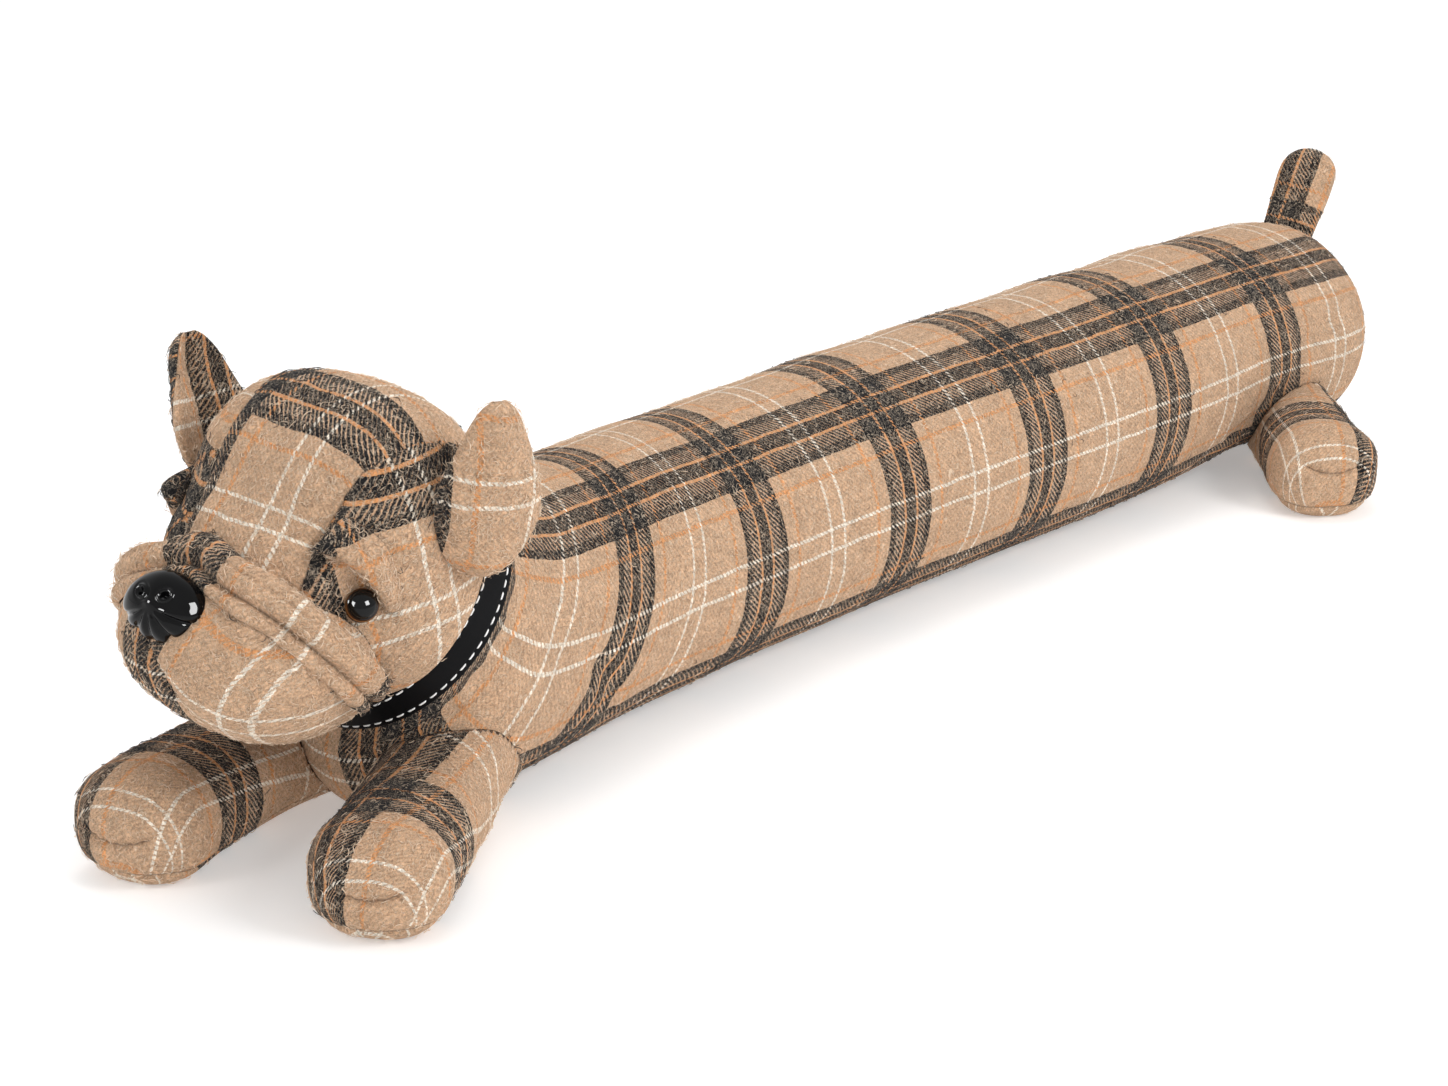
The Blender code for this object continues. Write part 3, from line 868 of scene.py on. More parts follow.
    def all_rings(self, grow: float, around: int, steps: int, rear_steps: int) -> Array:
        """Every ring from the neck's face to the rear."""
        fronts = [self.neck_ring(-grow, (self.neck_radius - self.neck_edge) * share + grow, around)
                  for share in (0.35, 0.7, 0.95)]
        for turn in np.radians(np.linspace(0.0, 90.0, 5)):
            fronts.append(self.neck_ring(
                self.neck_edge * (1.0 - math.cos(turn)) - grow * math.cos(turn),
                self.neck_radius - self.neck_edge * (1.0 - math.sin(turn)) + grow, around))
        for back in np.linspace(self.neck_edge, self.strap_width, max(2, steps // 2))[1:]:
            fronts.append(self.neck_ring(float(back), self.neck_radius + grow, around))
        rows = np.concatenate([smooth_rows(self.sections, steps), self.rear_rows(rear_steps)])
        rest = self.rings(rows, grow, around)
        share = (np.arange(1, steps) / steps)[:, None, None]
        start, end = fronts[-1][None], rest[:1]
        start_slope = (start - fronts[-2][None]) * 2.0
        end_slope = (rest[1:2] - end) * steps * 0.6
        bridge = curve_between(start, start_slope, end, end_slope, share)
        return np.concatenate([np.stack(fronts), bridge, rest])

    def room(self, grow: float = GAP) -> bpy.types.Object:
        """A guide, a little larger than the body, that keeps its neighbours clear."""
        return guide("body_room", self.all_rings(grow, 96, 4, 12))

    def dress(self, finishes: Finishes) -> None:
        """Makes the body's cloth."""
        rings = self.all_rings(0.0, self.around, self.steps, self.rear_steps)
        middles = rings.mean(axis=1)
        steps = np.linalg.norm(np.diff(middles, axis=0), axis=1)
        along = np.concatenate([[0.0], np.cumsum(steps)])
        along = np.repeat(along[:, None], self.around, axis=1)
        turn = np.arctan2(np.sin(turns(self.around)), np.cos(turns(self.around)))
        across = np.repeat((turn * self.cloth_radius)[None], len(rings), axis=0)

        normals = ring_normals(rings)
        lift = self.lumps.at(rings)
        for crease in self.creases:
            lift = lift - crease.at(along, across)
        behind = along - self.neck_edge - self.strap_width
        gathers = 0.5 - 0.5 * np.cos(turn * self.gathers + 1.5 * np.sin(turn * 3.0))
        lift = lift - self.gather_depth * gathers[None] * bell(behind - 0.006, 0.012)
        lift = lift * soft_step(behind, 0.0, 0.012)
        upright = soft_step(rings[..., 2], 0.0005, 0.012)
        rings = rings + normals * (lift * upright)[..., None]
        rings[..., 2] = np.maximum(rings[..., 2], 0.0)

        past = (np.abs(turn) - self.belly_turn) * self.cloth_radius
        seam = np.repeat(past[None], len(rings), axis=0)
        around = across - self.band_turn * self.cloth_radius
        wrapped = np.where(turn < 0.0, turn + 2.0 * math.pi, turn)
        under = wrapped[None] * self.cloth_radius + 0.0 * along
        cloth = np.stack([along - self.band_start, around, seam], axis=-1)
        panel = np.stack([along - self.band_start + self.belly_shift, under, seam], axis=-1)
        sew("body", rings, cloth, panel, 0.85, finishes.tweed)


# The head


class Mass(NamedTuple):
    """A stuffed mass: its middle forward, left and up, and its half sizes the same ways."""

    forward: float
    left: float
    height: float
    half_length: float
    half_width: float
    half_height: float


class Place(NamedTuple):
    """A place on the head: forward of its base, to the dog's left, and its height."""

    forward: float
    left: float
    height: float


HEAD_BASE = np.array((0.036, 0.006, 0.0))
EYE_PLACE = Place(0.0733, 0.0630, 0.1445)


def on_head(places: Array) -> Array:
    """Places on the head, in the frame that the body is measured in."""
    return HEAD_BASE + places * np.array((-1.0, -1.0, 1.0))


def seam_line(places: Sequence[Place], steps: int = 24) -> Array:
    """A sewn line's closely spaced points, from a few places on it."""
    return smooth_rows(places, steps)


def line_distance(points: Array, line: Array) -> tuple[Array, Array]:
    """How far each point lies from a line, and which of the line's points is nearest."""
    flat = points.reshape(-1, 3)
    least = np.full(len(flat), 1e9)
    which = np.zeros(len(flat), dtype=int)
    for index, place in enumerate(line):
        distance = np.linalg.norm(flat - place, axis=1)
        nearer = distance < least
        least[nearer] = distance[nearer]
        which[nearer] = index
    return least.reshape(points.shape[:-1]), which.reshape(points.shape[:-1])


@dataclass
class StuffedForm:
    """A round stuffed form about a few masses."""

    masses: tuple[Mass, ...]
    heart: Place
    neck_rounding: float
    blend: float = 0.006
    farthest: float = 0.200
    halvings: int = 26

    def field(self, points: Array) -> Array:
        """Below zero inside the smoothly joined masses."""
        total = np.zeros(len(points))
        for mass in self.masses:
            offset = points - np.array(mass[:3])
            sizes = np.array(mass[3:])
            scaled = np.linalg.norm(offset / sizes, axis=1)
            slope = np.linalg.norm(offset / sizes**2, axis=1)
            total += np.exp(-scaled * (scaled - 1.0) / np.maximum(slope, 1e-9) / self.blend)
        return -self.blend * np.log(total)

    def reach(self, rays: Array) -> Array:
        """How far along each ray from the heart the skin lies."""
        near = np.zeros(len(rays))
        far = np.full(len(rays), self.farthest)
        for _ in range(self.halvings):
            middle = (near + far) / 2.0
            inside = self.field(np.array(self.heart) + rays * middle[:, None]) < 0.0
            near = np.where(inside, middle, near)
            far = np.where(inside, far, middle)
        return near

    def on_skin(self, places: Array) -> tuple[Array, Array]:
        """Each place dropped onto the skin, with the way that it faces, on the head."""
        rays = unit(np.array(places, dtype=float) - np.array(self.heart))
        return np.array(self.heart) + rays * self.reach(rays)[:, None], rays

    def skin(self, tube: "Tube", rows: int, columns: int, grow: float) -> tuple[Array, Array]:
        """The plain skin's points and rays, limited by the neck's face.

        Args:
            tube: The body, with its neck's face.
            rows: How many rings, from the left pole to the right one.
            columns: How many places round each.
            grow: How far the skin is moved out.

        Returns:
            The points on the head, and the rays to them.
        """
        rays = side_rays(rows, columns)
        flat = rays.reshape(-1, 3)
        limit = neck_limit(flat, self.heart, tube) + grow
        reach = soft_least(self.reach(flat) + grow, limit, self.neck_rounding)
        points = np.array(self.heart) + flat * reach[:, None]
        return points.reshape(rays.shape), rays


def neck_limit(rays: Array, heart: Place, tube: Tube) -> Array:
    """How far along each ray from a heart the neck's face lies, one gap short of it."""
    normal, _ = tube.neck_axes()
    flip = np.array((-1.0, -1.0, 1.0))
    start = on_head(np.array(heart))
    room = float((start - tube.neck_face) @ normal) - GAP
    toward = -(rays * flip) @ normal
    return np.where(toward > 1e-6, room / np.maximum(toward, 1e-6), 1.0)


def side_rays(rows: int, columns: int) -> Array:
    """Rays in rows from the left pole to the right one, each row starting ahead and rising."""
    lean = math.pi * (np.arange(rows) + 0.5) / rows
    turn = turns(columns)
    return np.stack([np.sin(lean)[:, None] * np.cos(turn)[None],
                     np.repeat(np.cos(lean)[:, None], columns, axis=1),
                     np.sin(lean)[:, None] * np.sin(turn)[None]], axis=-1)


@dataclass
class Head:
    """The stuffed skull and cheeks, sewn of a forehead panel and two cheek panels."""

    form: StuffedForm = field(default_factory=lambda: StuffedForm((
        Mass(0.028, 0.000, 0.158, 0.058, 0.066, 0.066),
        Mass(0.030, 0.030, 0.170, 0.050, 0.040, 0.050),
        Mass(0.030, -0.030, 0.170, 0.050, 0.040, 0.050),
        Mass(0.072, 0.000, 0.140, 0.040, 0.060, 0.044),
        Mass(0.030, 0.026, 0.126, 0.056, 0.048, 0.046),
        Mass(0.030, -0.026, 0.126, 0.056, 0.048, 0.046),
    ), Place(0.038, 0.0, 0.145), 0.011))
    rows: int = 190
    columns: int = 290
    seams: tuple[tuple[Place, ...], ...] = (
        (Place(0.1010, 0.0455, 0.1400), Place(0.0942, 0.0474, 0.1534), Place(0.0839, 0.0464, 0.1699),
         Place(0.0718, 0.0500, 0.1875), Place(0.0590, 0.0527, 0.2011), Place(0.0459, 0.0570, 0.1997),
         Place(0.0266, 0.0580, 0.1960), Place(0.0050, 0.0560, 0.1850), Place(-0.010, 0.0480, 0.1600)),
        (Place(0.1060, -0.0210, 0.1500), Place(0.1036, -0.0245, 0.1620), Place(0.0939, -0.0281, 0.1724),
         Place(0.0760, -0.0306, 0.1959), Place(0.0566, -0.0330, 0.2149), Place(0.0300, -0.0380, 0.2150),
         Place(0.0050, -0.0420, 0.1950), Place(-0.010, -0.0400, 0.1650)),
    )
    eye: Place = EYE_PLACE
    lumps: Lumps = Lumps(seed=8, height=0.0007, wavelength=0.040)
    seam_grooves: tuple[tuple[float, float], ...] = ((0.0019, 0.0022), (0.0010, 0.0075))

    def room(self, tube: Tube, grow: float = GAP) -> bpy.types.Object:
        """A guide, a little larger than the head, that keeps its neighbours clear."""
        return guide("head_room", on_head(self.form.skin(tube, 70, 100, grow)[0]))

    def cloth_of(self, points: Array, seam: Array) -> tuple[Array, Array]:
        """The cloth's measures: the forehead panel's, then the cheek panels'.

        Args:
            points: Places on the head.
            seam: How far each lies past the forehead panel's seams.

        Returns:
            The cloth and panel rows.
        """
        forward, left, height = np.moveaxis(points, -1, 0)
        turn = np.arctan2(height - self.form.heart.height, forward - self.form.heart.forward)
        over = (turn - math.radians(84.0)) * 0.0700
        cloth = np.stack([over, left - 0.0870, seam], axis=-1)
        tip = math.radians(7.7)
        along = (forward - 0.030) * math.cos(tip) - (height - 0.196) * math.sin(tip)
        rise = (height - 0.196) * math.cos(tip) + (forward - 0.030) * math.sin(tip)
        panel = np.stack([along + 0.0500, rise + np.where(left < 0.0, 0.012, -0.002), seam], axis=-1)
        return cloth, panel

    def seam_distance(self, points: Array) -> Array:
        """How far each place lies past the forehead panel's seams; below zero on the panel."""
        flat = points.reshape(-1, 3)
        past = np.full(len(flat), -1e9)
        for places, hand in zip(self.seams, (1.0, -1.0)):
            line = seam_line(places, 20)
            distance, which = line_distance(flat, line)
            beyond = np.where((flat[:, 1] - line[which][:, 1]) * hand > 0.0, distance, -distance)
            past = np.maximum(past, beyond)
        behind = flat[:, 0] < -0.012
        return np.where(behind, 0.03, past).reshape(points.shape[:-1])

    def dress(self, tube: Tube, finishes: Finishes) -> None:
        """Makes the head's cloth."""
        points, rays = self.form.skin(tube, self.rows, self.columns, 0.0)
        seam = self.seam_distance(points)
        lift = self.lumps.at(points)
        for depth, width in self.seam_grooves:
            lift = lift - depth * bell(seam, width)
        for hand in (1.0, -1.0):
            eye = np.array(self.eye) * np.array((1.0, hand, 1.0))
            eye, _ = self.form.on_skin(eye[None])
            away = np.linalg.norm(points - eye[0], axis=-1)
            lift = lift - 0.0024 * bell(away, 0.0130) + 0.0012 * bell(away - 0.021, 0.006)
        points = points + rays * lift[..., None]
        cloth, panel = self.cloth_of(points, seam)
        sew("head", on_head(points), cloth, panel, 0.85, finishes.tweed)


@dataclass
class Muzzle:
    """The stuffed front of the face, sewn of two halves under the nose."""

    form: StuffedForm = field(default_factory=lambda: StuffedForm((
        Mass(0.080, 0.000, 0.120, 0.060, 0.060, 0.044),
        Mass(0.088, 0.026, 0.116, 0.046, 0.038, 0.038),
        Mass(0.086, -0.026, 0.118, 0.041, 0.037, 0.036),
    ), Place(0.076, 0.0, 0.118), 0.004))
    rows: int = 150
    columns: int = 220
    seam: tuple[Place, ...] = (
        Place(0.120, -0.0060, 0.1620), Place(0.1380, -0.0060, 0.1400), Place(0.1401, -0.0050, 0.1269),
        Place(0.1400, 0.0042, 0.1129), Place(0.1325, 0.0120, 0.0966), Place(0.1150, 0.0150, 0.0800),
        Place(0.0900, 0.0120, 0.0740), Place(0.0600, 0.0060, 0.0740))
    lumps: Lumps = Lumps(seed=21, height=0.0007, wavelength=0.035)

    def room(self, tube: Tube, grow: float = GAP) -> bpy.types.Object:
        """A guide, a little larger than the muzzle, that keeps its neighbours clear."""
        return guide("muzzle_room", on_head(self.form.skin(tube, 60, 90, grow)[0]))

    def dress(self, tube: Tube, finishes: Finishes, head_room: bpy.types.Object) -> None:
        """Makes the muzzle's cloth."""
        points, rays = self.form.skin(tube, self.rows, self.columns, 0.0)
        line = seam_line(self.seam)
        distance, which = line_distance(points, line)
        seam = np.where(points[..., 1] > line[which][..., 1], distance, -distance)
        pucker = 1.0 + 0.45 * np.cos(which * 0.9)
        lift = self.lumps.at(points) - 0.0018 * bell(seam, 0.0018)
        lift = lift - 0.0011 * pucker * bell(seam, 0.0060)
        points = points + rays * lift[..., None]
        forward, left, height = np.moveaxis(points, -1, 0)
        drop = 0.118 - height
        cloth = np.stack([drop + 0.052, left + 0.0100 + 0.10 * drop, seam], axis=-1)
        tip = math.radians(-28.0)
        along = left * math.cos(tip) - drop * math.sin(tip)
        down = drop * math.cos(tip) + left * math.sin(tip) - 0.3 * (forward - 0.12)
        panel = np.stack([along + 0.0180, down + 0.0640, seam], axis=-1)
        sew("muzzle", on_head(points), cloth, panel, 0.85, finishes.tweed, head_room)


def roll_frames(points: Array, facing: Array) -> tuple[Array, Array]:
    """The ways across and out of a strip laid along points on a skin."""
    run = unit(np.gradient(points, axis=0))
    out = unit(facing - run * np.sum(facing * run, axis=1, keepdims=True))
    return np.cross(run, out), out


@dataclass
class Lip:
    """The folded, padded strip that arches over the nose and down both sides."""

    path: tuple[Place, ...] = (
        Place(0.1130, 0.0000, 0.1630),
        Place(0.1140, 0.0220, 0.1570),
        Place(0.1080, 0.0420, 0.1480),
        Place(0.0985, 0.0580, 0.1350),
        Place(0.0850, 0.0640, 0.1190),
        Place(0.0700, 0.0640, 0.1020),
        Place(0.0630, 0.0620, 0.0940),
    )
    far_path: tuple[Place, ...] = (
        Place(0.1130, 0.0000, 0.1630),
        Place(0.1170, -0.0220, 0.1545),
        Place(0.1140, -0.0400, 0.1430),
        Place(0.1040, -0.0560, 0.1290),
        Place(0.0880, -0.0640, 0.1130),
        Place(0.0720, -0.0640, 0.0980),
        Place(0.0630, -0.0620, 0.0900),
    )
    half_width: float = 0.0120
    height: float = 0.0092
    around: int = 90
    steps: int = 22
    stitch: float = 0.0042
    valley: float = 0.34
    groove: float = 0.66
    lower_share: float = 0.66
    lumps: Lumps = Lumps(seed=5, height=0.0005, wavelength=0.022)

    def rings(self, form: StuffedForm, grow: float, around: int, steps: int,
              groove: float) -> tuple[Array, Array, Array]:
        """The strip's rings, the length along it and the width across it."""
        places = smooth_rows(self.far_path[:0:-1] + self.path, steps)
        points, facing = form.on_skin(places)
        across, out = roll_frames(points, facing)
        along = np.concatenate([[0.0], np.cumsum(np.linalg.norm(np.diff(points, axis=0), axis=1))])
        along -= along[-1] / 2.0
        end = np.abs(np.linspace(-1.0, 1.0, len(points)))
        size = 0.2 + 0.8 * np.sqrt(1.0 - end**6)
        angle = turns(around)[None]
        width = np.sin(angle)
        upper = np.cos(angle) > 0.0
        shape = np.cos(angle)
        if groove > 0.0:
            pitch = 0.5 + 0.5 * np.cos(2.0 * math.pi * along[:, None] / self.stitch)
            lobes = self.lobes(width, groove * (0.85 + 0.15 * pitch))
            shape = np.where(upper, lobes, shape * np.ones_like(lobes))
        width = np.broadcast_to(width, shape.shape)
        side = (self.half_width + grow) * size[:, None] * width
        lift = (self.height + grow) * size[:, None] * shape
        rings = points[:, None] + across[:, None] * side[..., None] + out[:, None] * lift[..., None]
        return rings, along, side

    def lobes(self, width: Array, groove: Array) -> Array:
        """The strip's outer profile: a fat upper lobe and a thinner lower one.

        Args:
            width: From -1 at the upper edge to 1 at the lower one.
            groove: How deep the sewn valley between them is.

        Returns:
            The share of the strip's height.
        """
        upper_half, lower_half = (1.0 + self.valley) / 2.0, (1.0 - self.valley) / 2.0
        upper = (width + 1.0 - upper_half) / upper_half
        lower = (width - 1.0 + lower_half) / lower_half
        fat = np.clip(1.0 - upper**2, 0.0, 1.0) ** 0.42 - 0.12 * bell(width + 0.42, 0.08)
        thin = self.lower_share * np.clip(1.0 - lower**2, 0.0, 1.0) ** 0.42
        edge = np.clip(1.0 - width**2, 0.0, 1.0) ** 0.5
        return np.maximum(np.maximum(fat, thin), (1.0 - groove) * edge)

    def room(self, form: StuffedForm, grow: float = GAP) -> bpy.types.Object:
        """A guide, a little larger than the lip, that keeps the nose clear."""
        return guide("lip_room", on_head(self.rings(form, grow, 24, 4, 0.0)[0]))

    def dress(self, muzzle: Muzzle, finishes: Finishes, *rooms: bpy.types.Object) -> None:
        """Makes the lip's cloth."""
        rings, along, side = self.rings(muzzle.form, 0.0, self.around, self.steps, self.groove)
        rings = rings + ring_normals(rings) * self.lumps.at(rings)[..., None]
        length = np.repeat(along[:, None], self.around, axis=1)
        crossing = -np.abs(side - self.valley * self.half_width)
        cloth = np.stack([length - 0.0035, side + 0.0420, crossing], axis=-1)
        sew("lip", on_head(rings), cloth, cloth, 0.8, finishes.tweed, *rooms)


@dataclass
class Brow:
    """A cheek panel's padded flap, whose free lower edge hangs over one eye."""

    hand: Hand
    height: float
    edge: tuple[Place, ...] = (
        Place(0.0880, 0.0475, 0.1700),
        Place(0.0828, 0.0545, 0.1680),
        Place(0.0783, 0.0600, 0.1645),
        Place(0.0733, 0.0655, 0.1578),
        Place(0.0688, 0.0685, 0.1503),
        Place(0.0651, 0.0700, 0.1425),
        Place(0.0615, 0.0708, 0.1350),
    )
    top: tuple[Place, ...] = (
        Place(0.0690, 0.0540, 0.1875),
        Place(0.0655, 0.0595, 0.1850),
        Place(0.0610, 0.0640, 0.1790),
        Place(0.0561, 0.0675, 0.1714),
        Place(0.0529, 0.0698, 0.1594),
        Place(0.0506, 0.0713, 0.1474),
        Place(0.0490, 0.0715, 0.1370),
    )
    roll: float = 0.0040
    sunk: float = 0.0015
    deep: float = 0.0030
    steps: int = 14
    outer: int = 36
    curl: int = 18
    seam_share: float = 0.13
    fade_share: float = 0.58

    def profile(self, width: Array) -> tuple[Array, Array, Array]:
        """The flap's section: shares of its width, shares of its height, and depths below.

        Args:
            width: The flap's width at each row.

        Returns:
            Three tables by row and by place round the section.
        """
        turn = np.radians(np.linspace(-90.0, 90.0, self.curl))
        roll = self.roll / width[:, None]
        share = np.linspace(0.0, 1.0, self.outer)[None, 1:]
        along = np.concatenate([
            roll * (1.0 - np.cos(turn))[None], roll + (1.0 - roll) * share,
            roll + (1.0 - roll) * share[:, ::-1]], axis=1)
        fall = 1.0 - 3.0 * share**2 + 2.0 * share**3
        rise = np.concatenate([(0.5 + 0.5 * np.sin(turn))[None], fall, 0.0 * fall], axis=1)
        below = np.concatenate([0.0 * turn[None], self.sunk * share, self.deep + 0.0 * share], axis=1)
        return along, np.repeat(rise, len(width), axis=0), np.repeat(below, len(width), axis=0)

    def dress(self, head: Head, finishes: Finishes, *rooms: bpy.types.Object) -> None:
        """Makes the brow's cloth."""
        flip = np.array((1.0, self.hand.value, 1.0))
        edge, top = (smooth_rows(rows, self.steps) * flip for rows in (self.edge, self.top))
        along, rise, below = self.profile(np.linalg.norm(top - edge, axis=1))
        places = edge[:, None] + (top - edge)[:, None] * along[..., None]
        points, rays = head.form.on_skin(places.reshape(-1, 3))
        shape = places.shape
        run = np.linspace(0.0, 1.0, len(edge))
        start = np.sqrt(1.0 - (1.0 - np.clip(run / self.seam_share, 0.0, 1.0)) ** 2)
        size = (start * (1.0 - soft_step(run, self.fade_share, 1.0)))[:, None]
        lift = self.height * size * rise - below
        points = points.reshape(shape) + rays.reshape(shape) * lift[..., None]
        points = points + rays.reshape(shape) * (
            Lumps(31, 0.0004, 0.020).at(points) * (rise > 0.1))[..., None]
        cloth, panel = head.cloth_of(points, np.full(shape[:2], 0.02))
        sew("brow_" + self.hand.name.lower(), on_head(points), cloth, panel, 0.8, finishes.tweed,
            *rooms)


@dataclass
class Nose:
    """The glossy moulded nose: two nostril rings above a fan of grooves."""

    place: Place = Place(0.138, 0.0010, 0.147)
    half_sizes: tuple[float, float, float] = (0.0140, 0.0205, 0.0168)
    turn: float = math.radians(17.0)
    rows: int = 130
    columns: int = 180
    corner_power: float = 1.75
    nostril: tuple[float, float] = (0.30, 0.62)
    fan_height: float = 0.34
    grooves: tuple[float, ...] = (-56.0, -31.0, -7.0, 22.0, 58.0)

    def relief(self, wide: Array, tall: Array, front: Array) -> Array:
        """How far the moulding stands out, by place across and up its front."""
        lift = np.zeros_like(wide)
        for hand in (-1.0, 1.0):
            away = np.hypot(wide - self.nostril[0] * hand, (tall - self.nostril[1]) * 1.1)
            lift += 0.0008 * bell(away - 0.135, 0.035) - 0.0026 * bell(away, 0.075)
            lift -= 0.0006 * bell(away - 0.21, 0.030)
        turn = np.arctan2(wide, self.fan_height - tall)
        reach = np.hypot(wide, self.fan_height - tall)
        depth = soft_step(reach, 0.12, 0.60) * soft_step(self.fan_height + 0.20 - tall, 0.0, 0.35)
        for groove in self.grooves:
            lift -= 0.0014 * depth * bell(turn - math.radians(groove), math.radians(5.0))
            lift += 0.0007 * depth * bell(turn - math.radians(groove + 15.0), math.radians(10.0))
        lift += 0.0010 * bell(np.hypot(wide, tall - 0.40), 0.14)
        return lift * soft_step(front, 0.22, 0.62)

    def dress(self, muzzle: Muzzle, finishes: Finishes, *rooms: bpy.types.Object) -> None:
        """Makes the nose."""
        middle, _ = muzzle.form.on_skin(np.array([self.place]))
        rays = side_rays(self.rows, self.columns)
        front, wide, tall = np.moveaxis(rays, -1, 0)
        sizes = np.array(self.half_sizes)
        spread = np.maximum(np.hypot(wide, tall), 1e-6)
        diamond = ((np.abs(wide) / spread) ** self.corner_power
                   + (np.abs(tall) / spread) ** self.corner_power) ** (-1.0 / self.corner_power)
        pinch = 1.04 - 0.10 * soft_step(-tall, 0.1, 1.0)
        points = rays * sizes * np.stack([np.ones_like(pinch), pinch * diamond, diamond], axis=-1)
        points = points + unit(rays / sizes) * self.relief(wide, tall, front)[..., None]
        cos, sin = math.cos(self.turn), math.sin(self.turn)
        points = points @ np.array(((cos, sin, 0.0), (-sin, cos, 0.0), (0.0, 0.0, 1.0)))
        skin = Skin(*ringed(on_head(middle[0] + points)))
        item = skin.make("nose_moulding", finishes.gloss)
        carve(item, *rooms)
        settle(item, "nose")


@dataclass
class Eye:
    """A glossy domed eye with a brown ring, half sunk in the cheek."""

    hand: Hand
    place: Place = EYE_PLACE
    radius: float = 0.0078
    upturn: float = 0.45
    rows: int = 60
    columns: int = 90

    def middle(self, head: Head) -> Array:
        """The eye's middle, on the head's skin."""
        place = np.array(self.place) * np.array((1.0, self.hand.value, 1.0))
        return head.form.on_skin(place[None])[0][0]

    def room(self, head: Head, grow: float = GAP) -> bpy.types.Object:
        """A guide, a little larger than the eye, that keeps the brow clear."""
        points = self.middle(head) + side_rays(24, 36) * (self.radius + grow)
        return guide("eye_room", on_head(points))

    def dress(self, head: Head, finishes: Finishes, *rooms: bpy.types.Object) -> None:
        """Makes the eye."""
        middle = self.middle(head)
        rays = side_rays(self.rows, self.columns)
        out = unit(unit(middle - np.array(head.form.heart)) + UP * self.upturn)
        turn = np.arccos(np.clip(rays @ out, -1.0, 1.0)) / (math.pi / 2.0)
        rim = 1.0 - 0.05 * bell(turn - 0.62, 0.06)
        skin = Skin(*ringed(on_head(middle + rays * self.radius * rim[..., None])))
        skin.extra["turn"] = close_rows(np.clip(turn, 0.0, 1.0)[..., None])[:, 0]
        name = "eye_" + self.hand.name.lower()
        item = skin.make(name + "_dome", finishes.eye)
        carve(item, *rooms)
        settle(item, name)


# Ears and tail


class LeafSection(NamedTuple):
    """A flat padded leaf's outline: share of its length, half width, share of its thickness."""

    share: float
    half_width: float
    fullness: float


@dataclass
class Leaf:
    """A flat padded leaf of two panels sewn round their edge."""

    root: Array
    tip: Array
    across: Array
    outward: Array
    sections: tuple[LeafSection, ...]
    thickness: float
    cup: float = 0.0
    cup_fade: float = 0.018
    fold: float = 0.0
    around: int = 96
    steps: int = 12
    edge_power: float = 0.8

    def rings(self) -> tuple[Array, Array, Array, Array]:
        """The leaf's rings, with the length, the width and the side of each point."""
        rows = smooth_rows(self.sections, self.steps)
        share, half_width, fullness = (column[:, None] for column in rows.T)
        axis = unit(self.tip - self.root)
        across = unit(self.across - axis * float(self.across @ axis))
        outward = self.outward - axis * float(self.outward @ axis)
        outward = unit(outward - across * float(outward @ across))
        angle = turns(self.around)[None]
        width = np.cos(angle)
        pad = np.sign(np.sin(angle)) * np.abs(np.sin(angle)) ** self.edge_power
        bow = self.cup * np.minimum(1.0, half_width / self.cup_fade)
        lift = bow * (1.0 - width**2) + self.thickness / 2.0 * fullness * pad
        middle = np.sin(math.pi * np.clip(share, 0.0, 1.0)) ** 0.5
        lift = lift + self.fold * middle * bell(width, 0.20) * (pad < 0.0) * np.abs(pad)
        edge = 1.0 - np.abs(pad)
        lift = lift * (1.0 - 0.15 * bell(edge - 1.0, 0.12))
        side = half_width * width
        length = share * float(np.linalg.norm(self.tip - self.root)) * np.ones_like(width)
        rings = (self.root + (self.tip - self.root) * share[..., None]
                 + across * side[..., None] + outward * lift[..., None])
        return rings, length, side * np.ones_like(length), pad * np.ones_like(length)


EAR_SECTIONS = (
    LeafSection(0.00, 0.0060, 0.45),
    LeafSection(0.05, 0.0130, 0.80),
    LeafSection(0.15, 0.0200, 1.00),
    LeafSection(0.30, 0.0238, 1.00),
    LeafSection(0.45, 0.0236, 1.00),
    LeafSection(0.60, 0.0202, 1.00),
    LeafSection(0.75, 0.0158, 0.95),
    LeafSection(0.88, 0.0115, 0.90),
    LeafSection(0.96, 0.0075, 0.75),
    LeafSection(1.00, 0.0035, 0.40),
)


@dataclass
class Ear:
    """One ear, standing up beside the head and cupped towards it."""

    hand: Hand
    root: Place
    tip: Place
    width_share: float
    fold: float
    back_place: tuple[float, float]
    inner_place: tuple[float, float]
    turn: float = math.radians(21.7)
    thickness: float = 0.010
    cup: float = 0.008
    rim_start: float = 0.50
    rim_turn: float = 1.0

    def dress(self, finishes: Finishes, *rooms: bpy.types.Object) -> None:
        """Makes the ear's cloth."""
        hand = self.hand.value
        flip = np.array((1.0, hand, 1.0))
        sections = tuple(section._replace(half_width=section.half_width * self.width_share)
                         for section in EAR_SECTIONS)
        leaf = Leaf(on_head(np.array(self.root) * flip), on_head(np.array(self.tip) * flip),
                    AHEAD * math.cos(self.turn) - LEFT * math.sin(self.turn) * hand,
                    LEFT * math.cos(self.turn) * hand + AHEAD * math.sin(self.turn),
                    sections, self.thickness, self.cup, fold=self.fold)
        rings, length, side, pad = leaf.rings()
        rings = rings + ring_normals(rings) * Lumps(13, 0.0005, 0.028).at(rings)[..., None]
        rim = soft_step(side / float(side.max()), self.rim_start, 1.0)
        past = -(pad + 0.35 - self.rim_turn * rim) * 0.010
        cloth = np.stack([length + self.back_place[0], self.back_place[1] - side, past], axis=-1)
        panel = np.stack([length + self.inner_place[0], side + self.inner_place[1], past], axis=-1)
        sew("ear_" + self.hand.name.lower(), rings, cloth, panel, 0.7, finishes.tweed, *rooms)


